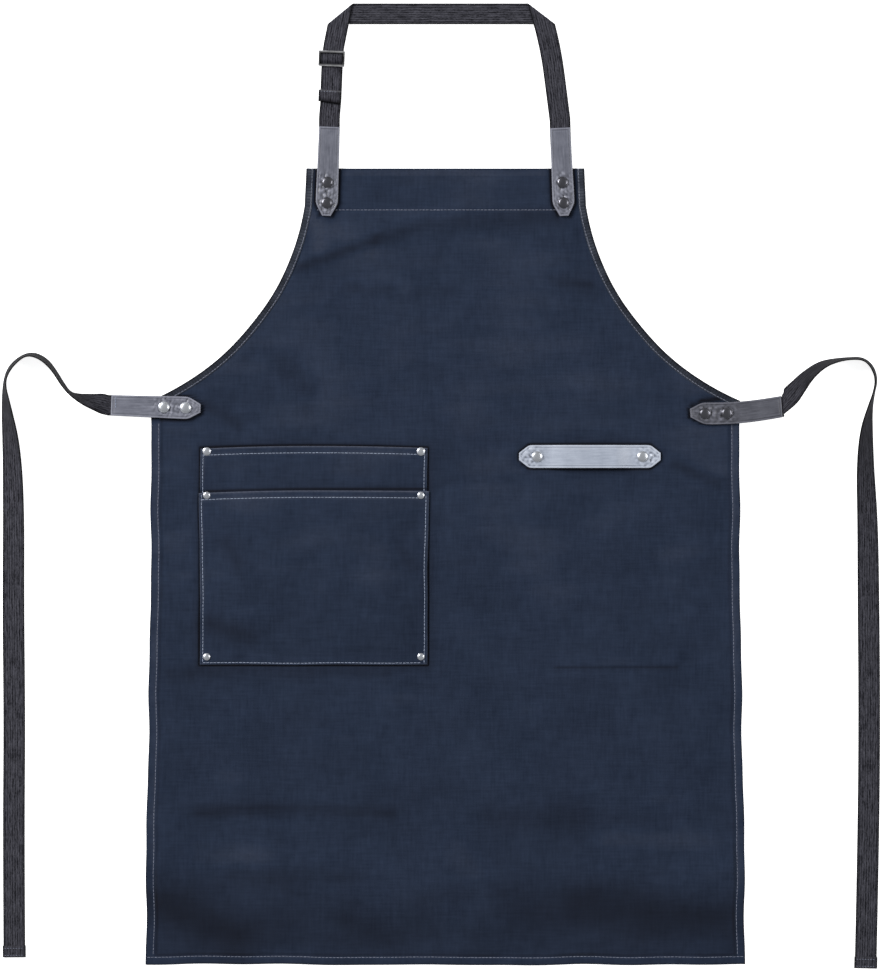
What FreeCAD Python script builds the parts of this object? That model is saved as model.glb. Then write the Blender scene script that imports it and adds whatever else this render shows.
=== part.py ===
"""Bib apron of canvas with leather tabs, lying flat on its back, in millimetres.

+X is to the right of the bib as it is seen, +Y points to the neck and +Z out of the front. z = 0 is the surface
that the apron lies on. Layers are stacked from there: hems and facing, body panel, webbing, leather, rivet caps.
"""

import FreeCAD, Part
import math
import os
import re

import Sketcher

V = FreeCAD.Vector

SIZES = {
    # cloth, webbing and leather
    "canvas_thick": 0.8,
    "hem_height": 1.6,
    "webbing_thick": 1.4,
    "webbing_width": 24,
    "leather_thick": 2.0,
    "tab_width": 24.5,
    "layer_gap": 0.1,
    # outline of the body panel
    "bib_top": 346.8,
    "bib_half": 152.4,
    "arm_top": 306,
    "arm_half": 154,
    "arm_radius": 285,
    "waist_top": 91,
    "waist_half": 324,
    "skirt_turn": -110,
    "foot_half": 329.7,
    "foot": -528.8,
    "side_hem": 10,
    "arm_hem": 8,
    "facing_depth": 45.7,
    # pockets
    "pocket_left": -269.3,
    "pocket_right": -19.6,
    "pocket_foot": -198.8,
    "rear_mouth": 41.5,
    "front_mouth": -7.4,
    "pocket_lip": 12,
    "pocket_slope": 25,
    "pocket_room": 5.0,
    "mouth_hem": 9.5,
    "mouth_hem_thick": 0.7,
    "pocket_rivet_side": 7.2,
    "pocket_rivet_foot": 8.8,
    "rear_rivet_drop": 6.0,
    "front_rivet_drop": 5.3,
    # leather tabs; a tab's own frame has its tip at the origin and runs along +Y
    "tab_tip_flat": 9.5,
    "tab_tip_cut": 14,
    "neck_tab_tip": 294,
    "neck_rivet_first": 16.5,
    "neck_rivet_step": 20.5,
    "waist_rivet_first": 16.5,
    "waist_rivet_step": 23.8,
    "left_neck_tab_long": 98.3,
    "right_neck_tab_long": 97.1,
    "waist_tab_long": 101.0,
    "anchor_inset": 6,
    # tool loop
    "loop_middle_x": 158.8,
    "loop_middle_y": 29.9,
    "loop_long": 155.7,
    "loop_wide": 26.2,
    "loop_tip_flat": 8,
    "loop_tip_cut": 11,
    "loop_seat": 30,
    "loop_rise": 20,
    "loop_room": 4.6,
    "loop_rivet_half": 57.9,
    # rivets
    "shank_radius": 1.5,
    "shank_room": 0.1,
    "flange_radius": 4,
    "flange_thick": 0.7,
    "large_cap_radius": 5.4,
    "large_cap_high": 2.2,
    "small_cap_radius": 4,
    "small_cap_high": 1.7,
    "cap_rim": 0.6,
    # neck strap and slider; the left leg's own frame starts at the hinge line and runs along +Y
    "hinge_line": 395.7,
    "hinge_gap": 0.5,
    "left_leg_x": -127.6,
    "left_leg_lean": 2.26,
    "left_leg_bend": 80,
    "left_top_lean": 7.8,
    "right_leg_x": 126.4,
    "right_leg_lean": 8.8,
    "top_run_y": 516.7,
    "top_run_height": 1.0,
    "tail_end": 23,
    "tail_hem_long": 13.2,
    "tail_hem_wide": 25.6,
    "tail_hem_thick": 2.8,
    "slider_place": 71,
    "slider_wide": 28.6,
    "slider_long": 17,
    "slider_thick": 2.5,
    "slider_bar": 2.6,
    "slider_slot": 4.2,
    "slider_slot_wide": 25.2,
    "slider_corner": 1.6,
    "slider_gap": 0.15,
    "hump_thick": 1.2,
    # ties
    "tie_hem_long": 12,
    "tie_hem_wide": 25.4,
    "tie_hem_thick": 2.6,
}

# Each tie's route: x, y and z of its middle line, and how far it is tipped up on its edge, in degrees. It leaves
# the tab flat, turns on edge, arches outwards on its edge and lies down again along the skirt.
LEFT_ROUTE = [
    (-369.9, 86.3, 3.1, 0),
    (-382.5, 86.8, 5.6, 24),
    (-396.0, 90.2, 9.3, 48),
    (-408.5, 96.0, 11.6, 71),
    (-417.0, 103.0, 12.1, 84),
    (-424.5, 115.5, 12.2, 83),
    (-433.0, 130.0, 12.0, 78),
    (-445.0, 140.5, 11.9, 75),
    (-459.5, 143.5, 12.2, 84),
    (-473.5, 134.5, 12.2, 84),
    (-483.5, 122.0, 12.3, 87),
    (-485.6, 105.0, 12.0, 80),
    (-482.6, 84.0, 11.3, 66),
    (-479.2, 58.0, 9.6, 50),
    (-475.6, 20.0, 6.8, 31),
    (-474.2, -40.0, 2.6, 9),
    (-475.2, -130.0, 0.75, 0),
    (-473.8, -260.0, 0.75, 0),
    (-474.8, -390.0, 0.75, 0),
    (-474.0, -508.6, 0.75, 0),
]
RIGHT_ROUTE = [
    (369.9, 86.0, 3.1, 0),
    (381.2, 87.8, 4.0, 8),
    (390.4, 98.0, 7.0, 24),
    (399.6, 112.4, 9.9, 48),
    (412.6, 127.0, 11.7, 68),
    (428.7, 135.8, 12.2, 79),
    (445.9, 138.5, 12.3, 86),
    (462.0, 137.0, 12.3, 88),
    (474.0, 127.0, 12.3, 88),
    (477.3, 112.0, 12.3, 87),
    (473.0, 94.0, 12.2, 83),
    (467.0, 74.0, 11.8, 72),
    (463.6, 48.0, 10.0, 54),
    (462.4, 10.0, 7.6, 36),
    (463.0, -48.0, 3.2, 12),
    (465.4, -130.0, 0.75, 0),
    (466.4, -250.0, 0.75, 0),
    (465.4, -385.0, 0.75, 0),
    (462.4, -520.7, 0.75, 0),
]
ARC_SHARE = 0.45

doc = FreeCAD.newDocument("apron")
sizes = doc.addObject("Spreadsheet::Sheet", "Sizes")
for row, (word, number) in enumerate(SIZES.items(), start=1):
    sizes.set(f"A{row}", word.replace("_", " "))
    sizes.set(f"B{row}", str(number))
    sizes.setAlias(f"B{row}", word)
doc.recompute()


def bound(text):
    """A length in the sheet's words, such as "bib_top - side_hem / 2", with the sheet's name before each word."""
    return re.sub(r"[a-z]+(_[a-z]+)*", lambda word: "Sizes." + word.group(), text)


def value(text):
    """The same length as a number."""
    return float(sizes.evalExpression(bound(text)))


def minus(text):
    """The same length with the other sign."""
    return text[1:] if text.startswith("-(") else f"-({text})"


# Heights in the stack of layers, in the sheet's words

PANEL = "hem_height"
FRONT = PANEL + " + canvas_thick"
LEATHER = FRONT + " + webbing_thick"
LEATHER_TOP = LEATHER + " + leather_thick"
LONG_STRAP = LEATHER + " + layer_gap"
FRONT_POCKET = FRONT + " + canvas_thick"
FRONT_POCKET_TOP = FRONT_POCKET + " + canvas_thick"
REAR_ROOF = FRONT + " + pocket_room"
FRONT_ROOF = FRONT_POCKET + " + pocket_room * 2"

nodes = []


def label(node, name):
    """Gives a finished piece its name and hands it in."""
    node.Label = name
    nodes.append(node)


# Sketched pieces


def new_sketch(body, plane_role):
    sketch = body.newObject("Sketcher::SketchObject", body.Name + "_sketch")
    plane = [f for f in body.Origin.OriginFeatures if f.Role == plane_role][0]
    sketch.AttachmentSupport = [(plane, "")]
    sketch.MapMode = "FlatFace"
    return sketch


def bind(sketch, kind, where, text):
    """Adds one dimension to a sketch and binds it to the sheet."""
    number = sketch.addConstraint(Sketcher.Constraint(kind, *where, value(text)))
    sketch.setExpression(f"Constraints[{number}]", bound(text))


def end_at(sketch, side, point):
    """Which end of a line or arc, 1 or 2, lies at the point."""
    return min((1, 2), key=lambda end: (sketch.getPoint(side, end) - point).Length)


def arc_between(start, end, radius):
    """An arc that passes to the left of the straight line from start to end, or to the right if radius < 0."""
    half = (end - start) / 2
    left = V(-half.y, half.x, 0).normalize()
    rise = abs(radius) - math.sqrt(radius**2 - half.Length**2)
    return Part.Arc(start, start + half + left * math.copysign(rise, radius), end)


def draw_outline(sketch, corners, arcs):
    """Closed outline through corners in the sheet's words; arcs gives the radius of each side that is an arc."""
    points = [V(value(x), value(y), 0) for x, y in corners]
    first, sides = sketch.GeometryCount, len(points)
    for i, start in enumerate(points):
        end = points[(i + 1) % sides]
        curve = arc_between(start, end, value(arcs[i])) if i in arcs else Part.LineSegment(start, end)
        sketch.addGeometry(curve, False)
    for i, (x, y) in enumerate(corners):
        side, before = first + i, first + (i - 1) % sides
        here, there = end_at(sketch, side, points[i]), end_at(sketch, before, points[i])
        sketch.addConstraint(Sketcher.Constraint("Coincident", before, there, side, here))
        bind(sketch, "DistanceX", (-1, 1, side, here), x)
        bind(sketch, "DistanceY", (-1, 1, side, here), y)
        if i in arcs:
            bind(sketch, "Radius", (side,), arcs[i].lstrip("-"))


def plate(name, outlines, base, thick, arcs=None, frame=FreeCAD.Placement()):
    """Flat piece from its outline, and those of any windows in it, padded up from the height base."""
    body = doc.addObject("PartDesign::Body", name)
    sketch = new_sketch(body, "XY_Plane")
    for corners in outlines:
        draw_outline(sketch, corners, arcs or {})
    pad = body.newObject("PartDesign::Pad", name + "_pad")
    pad.Profile = sketch
    pad.setExpression("Length", bound(thick))
    body.Placement = frame
    body.setExpression(".Placement.Base.z", bound(base))
    return body


def strip(name, corners, wide, base, frame=FreeCAD.Placement()):
    """Piece with one outline seen from its side, in Y and Z, and the same all across its width in X."""
    body = doc.addObject("PartDesign::Body", name)
    sketch = new_sketch(body, "YZ_Plane")
    draw_outline(sketch, corners, {})
    pad = body.newObject("PartDesign::Pad", name + "_pad")
    pad.Profile = sketch
    pad.setExpression("Length", bound(wide))
    pad.SideType = "Symmetric"
    body.Placement = frame
    body.setExpression(".Placement.Base.z", bound(base))
    return body


def turned(name, corners, arcs):
    """Round piece: half its outline, in radius and height, turned about Z."""
    body = doc.addObject("PartDesign::Body", name)
    sketch = new_sketch(body, "XZ_Plane")
    draw_outline(sketch, corners, arcs)
    turn = body.newObject("PartDesign::Revolution", name + "_turn")
    turn.Profile = sketch
    turn.ReferenceAxis = (sketch, ["V_Axis"])
    turn.Angle = 360
    return body


def rectangle(left, foot, right, top):
    return [(left, foot), (right, foot), (right, top), (left, top)]


def to_side(corners, side):
    """Corners given for the right side, or the same corners on the left side."""
    return [(x if side == "right" else minus(x), y) for x, y in corners]


# Frames of the tabs and of the left leg of the neck strap: each starts at the origin and runs along +Y.
# Each neck tab leans a little inwards at the top, and each waist tab rises a little towards its outer end.


def frame_at(x, y, turn):
    return FreeCAD.Placement(V(x, y, 0), FreeCAD.Rotation(V(0, 0, 1), turn))


NECK_TABS = {
    "left": frame_at(-130.6, value("neck_tab_tip"), -1.93),
    "right": frame_at(130.5, value("neck_tab_tip"), 2.6),
}
WAIST_TABS = {"left": frame_at(-268.6, 82.8, 88.0), "right": frame_at(268.8, 78.2, -85.6)}
LEFT_LEG = frame_at(value("left_leg_x"), value("hinge_line"), -value("left_leg_lean"))


# Rivet places, and the holes that their shanks need


def along(frames, first, step):
    """The two rivet places of each tab."""
    distances = (value(first), value(first + " + " + step))
    return [frame.multVec(V(0, distance, 0)) for frame in frames.values() for distance in distances]


def grid(columns, rows):
    return [V(value(x), value(y), 0) for y in rows for x in columns]


POCKET_COLUMNS = ("pocket_left + pocket_rivet_side", "pocket_right - pocket_rivet_side")
NECK_RIVETS = along(NECK_TABS, "neck_rivet_first", "neck_rivet_step")
WAIST_RIVETS = along(WAIST_TABS, "waist_rivet_first", "waist_rivet_step")
LOOP_RIVETS = grid(("loop_middle_x - loop_rivet_half", "loop_middle_x + loop_rivet_half"), ["loop_middle_y"])
REAR_RIVETS = grid(POCKET_COLUMNS, ["rear_mouth - rear_rivet_drop"])
FRONT_RIVETS = grid(POCKET_COLUMNS, ["front_mouth - front_rivet_drop", "pocket_foot + pocket_rivet_foot"])

drills = []
for place in NECK_RIVETS + WAIST_RIVETS + LOOP_RIVETS + REAR_RIVETS + FRONT_RIVETS:
    drill = doc.addObject("Part::Cylinder", "drill")
    drill.setExpression("Radius", bound("shank_radius + shank_room"))
    drill.setExpression("Height", bound(LEATHER_TOP + " + hem_height"))
    drill.Placement.Base = place
    drills.append(drill)
shank_holes = doc.addObject("Part::Compound", "shank_holes")
shank_holes.Links = drills


def pierced(piece, name):
    """The piece with a hole for each rivet shank that passes through it."""
    cut = doc.addObject("Part::Cut", name + "_pierced")
    cut.Base, cut.Tool = piece, shank_holes
    label(cut, name)


# Body panel. Its two armholes are arcs.

RIGHT_EDGE = [
    ("bib_half", "bib_top"),
    ("arm_half", "arm_top"),
    ("waist_half", "waist_top"),
    ("waist_half", "skirt_turn"),
    ("foot_half", "foot"),
]
panel = plate(
    "panel",
    [RIGHT_EDGE + to_side(RIGHT_EDGE, "left")[::-1]],
    PANEL,
    "canvas_thick",
    arcs={1: "-arm_radius", 7: "-arm_radius"},
)
pierced(panel, "body_panel")

# Facing and hems, folded to the back

FACING_HALF = "bib_half - arm_hem - layer_gap * 4"
facing = plate(
    "facing",
    [rectangle(minus(FACING_HALF), "bib_top - facing_depth", FACING_HALF, "bib_top")],
    "hem_height - canvas_thick",
    "canvas_thick",
)
pierced(facing, "bib_facing")

# The inner edge of an armhole hem follows the outer one, moved in square to the armhole at each end.
ARMHOLE_HEM = [
    ("bib_half", "bib_top"),
    ("arm_half", "arm_top"),
    ("waist_half", "waist_top"),
    ("waist_half - arm_hem * 0.4", "waist_top - arm_hem * 0.92"),
    ("arm_half - arm_hem", "arm_top"),
    ("bib_half - arm_hem", "bib_top"),
]
SIDE_HEM = [
    ("waist_half", "waist_top - arm_hem"),
    ("waist_half", "skirt_turn"),
    ("foot_half", "foot"),
    ("foot_half - side_hem", "foot"),
    ("waist_half - side_hem", "skirt_turn"),
    ("waist_half - side_hem", "waist_top - arm_hem"),
]
for side in ("left", "right"):
    outer, inner = ("-arm_radius", "(arm_radius + arm_hem)")
    if side == "left":
        outer, inner = "arm_radius", "-(arm_radius + arm_hem)"
    arcs = {1: outer, 3: inner}
    armhole = plate(side + "_armhole", [to_side(ARMHOLE_HEM, side)], "0", "hem_height", arcs=arcs)
    label(armhole, side + "_armhole_hem")
    label(plate(side + "_side", [to_side(SIDE_HEM, side)], "0", "hem_height"), side + "_side_hem")

FOOT_HALF = "foot_half - side_hem - layer_gap * 2"
foot_hem = plate("foot_hem", [rectangle(minus(FOOT_HALF), "foot", FOOT_HALF, "foot + side_hem")], "0", "hem_height")
label(foot_hem, "bottom_hem")

# Pockets. Each is a sheet sewn down along a flat lip at its sides and foot, with an open mouth at the top.


def bulge(name, mouth, base, room):
    """Solid with a flat top that is narrower than its foot by the pocket's slope, and upright at the mouth."""
    wedge = doc.addObject("Part::Wedge", name)
    # A wedge rises along its own Y, which becomes +Z, and its own Z becomes -Y.
    wedge.Placement.Rotation = FreeCAD.Rotation(V(1, 0, 0), 90)
    wedge.setExpression(".Placement.Base.z", bound(base))
    sides = {
        "Xmin": "pocket_left + pocket_lip",
        "X2min": "pocket_left + pocket_lip + pocket_slope",
        "Xmax": "pocket_right - pocket_lip",
        "X2max": "pocket_right - pocket_lip - pocket_slope",
        "Ymin": "0",
        "Ymax": room,
        "Zmin": minus(mouth),
        "Z2min": minus(mouth),
        "Zmax": "-(pocket_foot + pocket_lip)",
        "Z2max": "-(pocket_foot + pocket_lip + pocket_slope)",
    }
    # Each limit is set before it is bound, so that no limit ever lies on the wrong side of its partner.
    for limit, length in sorted(sides.items(), key=lambda item: "min" in item[0]):
        setattr(wedge, limit, value(length))
    for limit, length in sides.items():
        wedge.setExpression(limit, bound(length))
    return wedge


def pocket(name, mouth, base, room):
    """Pocket panel whose lip lies at the height base, and whose room inside is that high."""
    lip = doc.addObject("Part::Box", name + "_lip")
    lip.setExpression("Length", bound("pocket_right - pocket_left"))
    lip.setExpression("Width", bound(f"{mouth} - pocket_foot"))
    lip.setExpression("Height", bound("canvas_thick"))
    for axis, start in (("x", "pocket_left"), ("y", "pocket_foot"), ("z", base)):
        lip.setExpression(f".Placement.Base.{axis}", bound(start))
    skin = doc.addObject("Part::Fuse", name + "_skin")
    skin.Base, skin.Tool = lip, bulge(name + "_outside", mouth, base + " + canvas_thick", room)
    hollow = doc.addObject("Part::Cut", name + "_hollow")
    hollow.Base, hollow.Tool = skin, bulge(name + "_inside", mouth + " + canvas_thick", base, room)
    pierced(hollow, name + "_panel")


def mouth_hem(name, mouth, roof):
    """Hem folded inside a pocket's mouth, under its roof."""
    inset = "(pocket_lip + pocket_slope + layer_gap * 2)"
    corners = rectangle(f"pocket_left + {inset}", f"{mouth} - mouth_hem", f"pocket_right - {inset}", mouth)
    label(plate(name, [corners], roof + " - mouth_hem_thick", "mouth_hem_thick"), name + "_mouth_hem")


pocket("rear_pocket", "rear_mouth", FRONT, "pocket_room")
mouth_hem("rear_pocket", "rear_mouth", REAR_ROOF)
pocket("front_pocket", "front_mouth", FRONT_POCKET, "pocket_room * 2")
mouth_hem("front_pocket", "front_mouth", FRONT_ROOF)

# Leather tabs, and the webbing ends that they hold


def tab_outline(long):
    half, tip = "tab_width / 2", "tab_tip_flat / 2"
    right = [(tip, "0"), (half, "tab_tip_cut"), (half, long)]
    return right + to_side(right, "left")[::-1]


def webbing_end(long):
    return rectangle("-webbing_width / 2", "anchor_inset", "webbing_width / 2", long)


NECK_ANCHOR_END = "hinge_line - hinge_gap * 2 - neck_tab_tip"
for side, frame in NECK_TABS.items():
    tab = plate(side + "_neck", [tab_outline(side + "_neck_tab_long")], LEATHER, "leather_thick", frame=frame)
    pierced(tab, side + "_neck_tab")
    anchor = plate(side + "_strap_end", [webbing_end(NECK_ANCHOR_END)], FRONT, "webbing_thick", frame=frame)
    pierced(anchor, side + "_strap_anchor")
for side, frame in WAIST_TABS.items():
    tab = plate(side + "_waist", [tab_outline("waist_tab_long")], LEATHER, "leather_thick", frame=frame)
    pierced(tab, side + "_waist_tab")
    anchor = plate(side + "_tie_end", [webbing_end("waist_tab_long")], FRONT, "webbing_thick", frame=frame)
    pierced(anchor, side + "_tie_anchor")

# Tool loop: a leather strap that rises between its two rivets, with pointed ends. It runs along X.

loop_frame = frame_at(value("loop_middle_x"), value("loop_middle_y"), 90)
LOOP_UNDER = [
    ("loop_long / 2", "0"),
    ("loop_long / 2 - loop_seat", "0"),
    ("loop_long / 2 - loop_seat - loop_rise", "loop_room"),
]
LOOP_OVER = [(y, z + " + leather_thick") for y, z in LOOP_UNDER]
arch = LOOP_UNDER + to_side(LOOP_UNDER, "left")[::-1] + to_side(LOOP_OVER, "left") + LOOP_OVER[::-1]
loop_arch = strip("loop_arch", arch, "loop_wide", FRONT, frame=loop_frame)
loop_half = [
    ("loop_tip_flat / 2", "loop_long / 2"),
    ("loop_wide / 2", "loop_long / 2 - loop_tip_cut"),
    ("loop_wide / 2", "-(loop_long / 2 - loop_tip_cut)"),
    ("loop_tip_flat / 2", "-loop_long / 2"),
]
loop_plan = plate(
    "loop_plan",
    [loop_half + to_side(loop_half, "left")[::-1]],
    "0",
    LEATHER_TOP + " + loop_room",
    frame=loop_frame,
)
loop = doc.addObject("Part::Common", "loop")
loop.Base, loop.Tool = loop_arch, loop_plan
pierced(loop, "tool_loop")

# Rivets: one master of each kind, set out as links


def set_out(name, kinds):
    """One node of like rivet pieces: kinds holds (master, height of its base, places)."""
    links = []
    for master, base, places in kinds:
        for place in places:
            link = doc.addObject("App::Link", name + "_link")
            link.LinkedObject = master
            link.Placement.Base = V(place.x, place.y, value(base))
            links.append(link)
    group = doc.addObject("Part::Compound", name + "_group")
    group.Links = links
    label(group, name)


def cap(size):
    """Domed cap; the dome is an arc from the rim to the middle."""
    radius, high = size + "_cap_radius", size + "_cap_high"
    corners = [("0", "0"), (radius, "0"), (radius, "cap_rim"), ("0", high)]
    dome = f"-({radius} ^ 2 + ({high} - cap_rim) ^ 2) / (2 * ({high} - cap_rim))"
    return turned(size + "_cap", corners, {2: dome})


def post(name, high):
    """Shank of the given height with the flange that closes it behind the cloth, whose top is at 0."""
    corners = [
        ("0", "-flange_thick"),
        ("flange_radius", "-flange_thick"),
        ("flange_radius", "0"),
        ("shank_radius", "0"),
        ("shank_radius", high),
        ("0", high),
    ]
    return turned(name, corners, {})


large_cap, small_cap = cap("large"), cap("small")
LOOP_TOP = FRONT + " + leather_thick"
UNDER_FACING = "hem_height - canvas_thick"
set_out("neck_tab_rivet_caps", [(large_cap, LEATHER_TOP, NECK_RIVETS)])
set_out("waist_tab_rivet_caps", [(large_cap, LEATHER_TOP, WAIST_RIVETS)])
set_out("tool_loop_rivet_caps", [(large_cap, LOOP_TOP, LOOP_RIVETS)])
set_out(
    "pocket_rivet_caps",
    [(small_cap, FRONT_POCKET, REAR_RIVETS), (small_cap, FRONT_POCKET_TOP, FRONT_RIVETS)],
)
neck_post = post("neck_post", f"{LEATHER_TOP} - ({UNDER_FACING})")
waist_post = post("waist_post", f"{LEATHER_TOP} - {PANEL}")
loop_post = post("loop_post", f"{LOOP_TOP} - {PANEL}")
rear_post = post("rear_post", f"{FRONT_POCKET} - {PANEL}")
front_post = post("front_post", f"{FRONT_POCKET_TOP} - {PANEL}")
set_out("neck_tab_rivet_posts", [(neck_post, UNDER_FACING, NECK_RIVETS)])
set_out("waist_tab_rivet_posts", [(waist_post, PANEL, WAIST_RIVETS)])
set_out("tool_loop_rivet_posts", [(loop_post, PANEL, LOOP_RIVETS)])
set_out("pocket_rivet_posts", [(rear_post, PANEL, REAR_RIVETS), (front_post, PANEL, FRONT_RIVETS)])

# Neck strap: one length of webbing laid as a loop, folded flat on itself at both upper corners


def shaped(name, shape):
    """Piece whose folded or twisted shape is worked out from the sheet's sizes."""
    feature = doc.addObject("Part::Feature", name + "_shape")
    feature.Shape = shape
    label(feature, name)


def heading(lean):
    """Direction in plan that leans from +Y towards +X by an angle in degrees."""
    return V(math.sin(math.radians(lean)), math.cos(math.radians(lean)), 0)


def crossing(point, direction, other, other_direction):
    """Where two lines in plan cross."""
    across = direction.x * other_direction.y - direction.y * other_direction.x
    gap = other - point
    return point + direction * ((gap.x * other_direction.y - gap.y * other_direction.x) / across)


def strap_edges(middle, direction, end, end_direction):
    """The left and right corners of a strap that ends on a line."""
    left = V(-direction.y, direction.x, 0) * (value("webbing_width") / 2)
    return [crossing(middle + offset, direction, end, end_direction) for offset in (left, -left)]


def upright(edges, height):
    """Upright section of webbing across two corners in plan, with its underside at a height."""
    low = [edge + V(0, 0, height) for edge in edges]
    high = [edge + V(0, 0, height + value("webbing_thick")) for edge in edges]
    return [low[0], low[1], high[1], high[0]]


def webbing(sections):
    """Solid through four-cornered sections, with ruled sides between each section and the next."""
    faces = [Part.Face(Part.makePolygon(ring + ring[:1])) for ring in (sections[0], sections[-1])]
    for ring, following in zip(sections, sections[1:]):
        for i in range(4):
            j = (i + 1) % 4
            edges = Part.makeLine(ring[i], ring[j]), Part.makeLine(following[i], following[j])
            faces.append(Part.makeRuledSurface(*edges))
    shell = Part.makeShell(faces)
    shell.sewShape()
    solid = Part.makeSolid(shell)
    if solid.Volume < 0:
        solid.reverse()
    return solid


ACROSS = V(1, 0, 0)
hinge_line = value("hinge_line")
strap_start = V(0, hinge_line + value("hinge_gap"), 0)
run_middle = V(0, value("top_run_y"), 0)
leg_start = LEFT_LEG.multVec(V(0, 0, 0))
leg_bend = LEFT_LEG.multVec(V(0, value("left_leg_bend"), 0))
leg_tail = LEFT_LEG.multVec(V(0, value("tail_end + tail_hem_long"), 0))
low_left = heading(value("left_leg_lean"))
high_left = heading(value("left_top_lean"))
right_leg = heading(-value("right_leg_lean"))
right_start = V(value("right_leg_x"), hinge_line, 0)
left_corner = crossing(leg_bend, high_left, run_middle, ACROSS)
right_corner = crossing(right_start, right_leg, run_middle, ACROSS)
left_fold = high_left + ACROSS
right_fold = right_leg - ACROSS
bend_line = (low_left + high_left).cross(V(0, 0, 1))

long_height, leg_height = value(LONG_STRAP), value(FRONT)
run_height = value("top_run_height")
left_leg = webbing(
    [
        upright(strap_edges(leg_start, low_left, leg_tail, low_left.cross(V(0, 0, 1))), long_height),
        upright(strap_edges(leg_start, low_left, leg_bend, bend_line), long_height),
        upright(strap_edges(leg_bend, high_left, left_corner, left_fold), leg_height),
    ]
)
top_run = webbing(
    [
        upright(strap_edges(run_middle, ACROSS, left_corner, left_fold), run_height),
        upright(strap_edges(run_middle, ACROSS, right_corner, right_fold), run_height),
    ]
)
right_leg_webbing = webbing(
    [
        upright(strap_edges(right_start, right_leg, strap_start, ACROSS), leg_height),
        upright(strap_edges(right_start, right_leg, right_corner, right_fold), leg_height),
    ]
)
shaped("neck_strap", left_leg.fuse([top_run, right_leg_webbing]).removeSplitter())

half_tail = "tail_hem_wide / 2"
tail_hem = plate(
    "tail_hem",
    [rectangle(minus(half_tail), "tail_end", half_tail, "tail_end + tail_hem_long")],
    LONG_STRAP,
    "tail_hem_thick",
    frame=LEFT_LEG,
)
label(tail_hem, "strap_tail_hem")
half_web = "webbing_width / 2"
buckle_strap = plate(
    "buckle_webbing",
    [rectangle(minus(half_web), "hinge_gap * 2", half_web, "slider_place")],
    FRONT,
    "webbing_thick",
    frame=LEFT_LEG,
)
label(buckle_strap, "buckle_strap")

# Slider: a frame with two slots and a bar between them, and the strap's hump over that bar

SLIDER = LONG_STRAP + " + webbing_thick + slider_gap"
slider_frame = FreeCAD.Placement(LEFT_LEG)
slider_frame.Base = LEFT_LEG.multVec(V(0, value("slider_place"), 0))
half_slot, slot_end = "slider_slot_wide / 2", "slider_long / 2 - slider_bar"
upper_slot = rectangle(minus(half_slot), f"{slot_end} - slider_slot", half_slot, slot_end)
lower_slot = [(x, minus(y)) for x, y in upper_slot]
half_wide, half_long = "slider_wide / 2", "slider_long / 2"
slider = plate(
    "slider",
    [rectangle(minus(half_wide), minus(half_long), half_wide, half_long), upper_slot, lower_slot],
    SLIDER,
    "slider_thick",
    frame=slider_frame,
)
doc.recompute()
slider_pad = slider.Tip
corner_edges = [
    f"Edge{i}"
    for i, edge in enumerate(slider_pad.Shape.Edges, start=1)
    if abs(edge.BoundBox.ZLength - value("slider_thick")) < 1e-6
    and abs(abs(edge.CenterOfMass.x) - value(half_wide)) < 1e-6
]
rounding = slider.newObject("PartDesign::Fillet", "slider_corners")
rounding.Base = (slider_pad, corner_edges)
rounding.setExpression("Radius", bound("slider_corner"))
slider.Tip = rounding
label(slider, "slider_buckle")

HUMP_IN = f"{slot_end} - slider_slot + slider_gap"
HUMP_OUT = HUMP_IN + " + hump_thick"
HUMP_ROOF = "slider_thick + slider_gap"
hump_right = [(HUMP_IN, "0"), (HUMP_OUT, "0"), (HUMP_OUT, HUMP_ROOF + " + hump_thick")]
hump_left = to_side(hump_right, "left")[::-1]
hump_roof = [(minus(HUMP_IN), HUMP_ROOF), (HUMP_IN, HUMP_ROOF)]
hump = strip("hump", hump_right + hump_left + hump_roof, "webbing_width", SLIDER, frame=slider_frame)
label(hump, "strap_hump")

# Waist ties


def station(point, direction, tilt, raised):
    """Section of webbing across a direction, tipped up on its edge; raised is 1 if its left edge is the high one."""
    side = V(0, 0, 1).cross(direction).normalize() * raised
    up = direction.cross(side) * raised
    lean = math.radians(tilt)
    wide = side * math.cos(lean) + up * math.sin(lean)
    thick = up * math.cos(lean) - side * math.sin(lean)
    wide *= value("webbing_width") / 2
    thick *= value("webbing_thick") / 2
    return [point + wide + thick, point - wide + thick, point - wide - thick, point + wide - thick]


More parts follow.
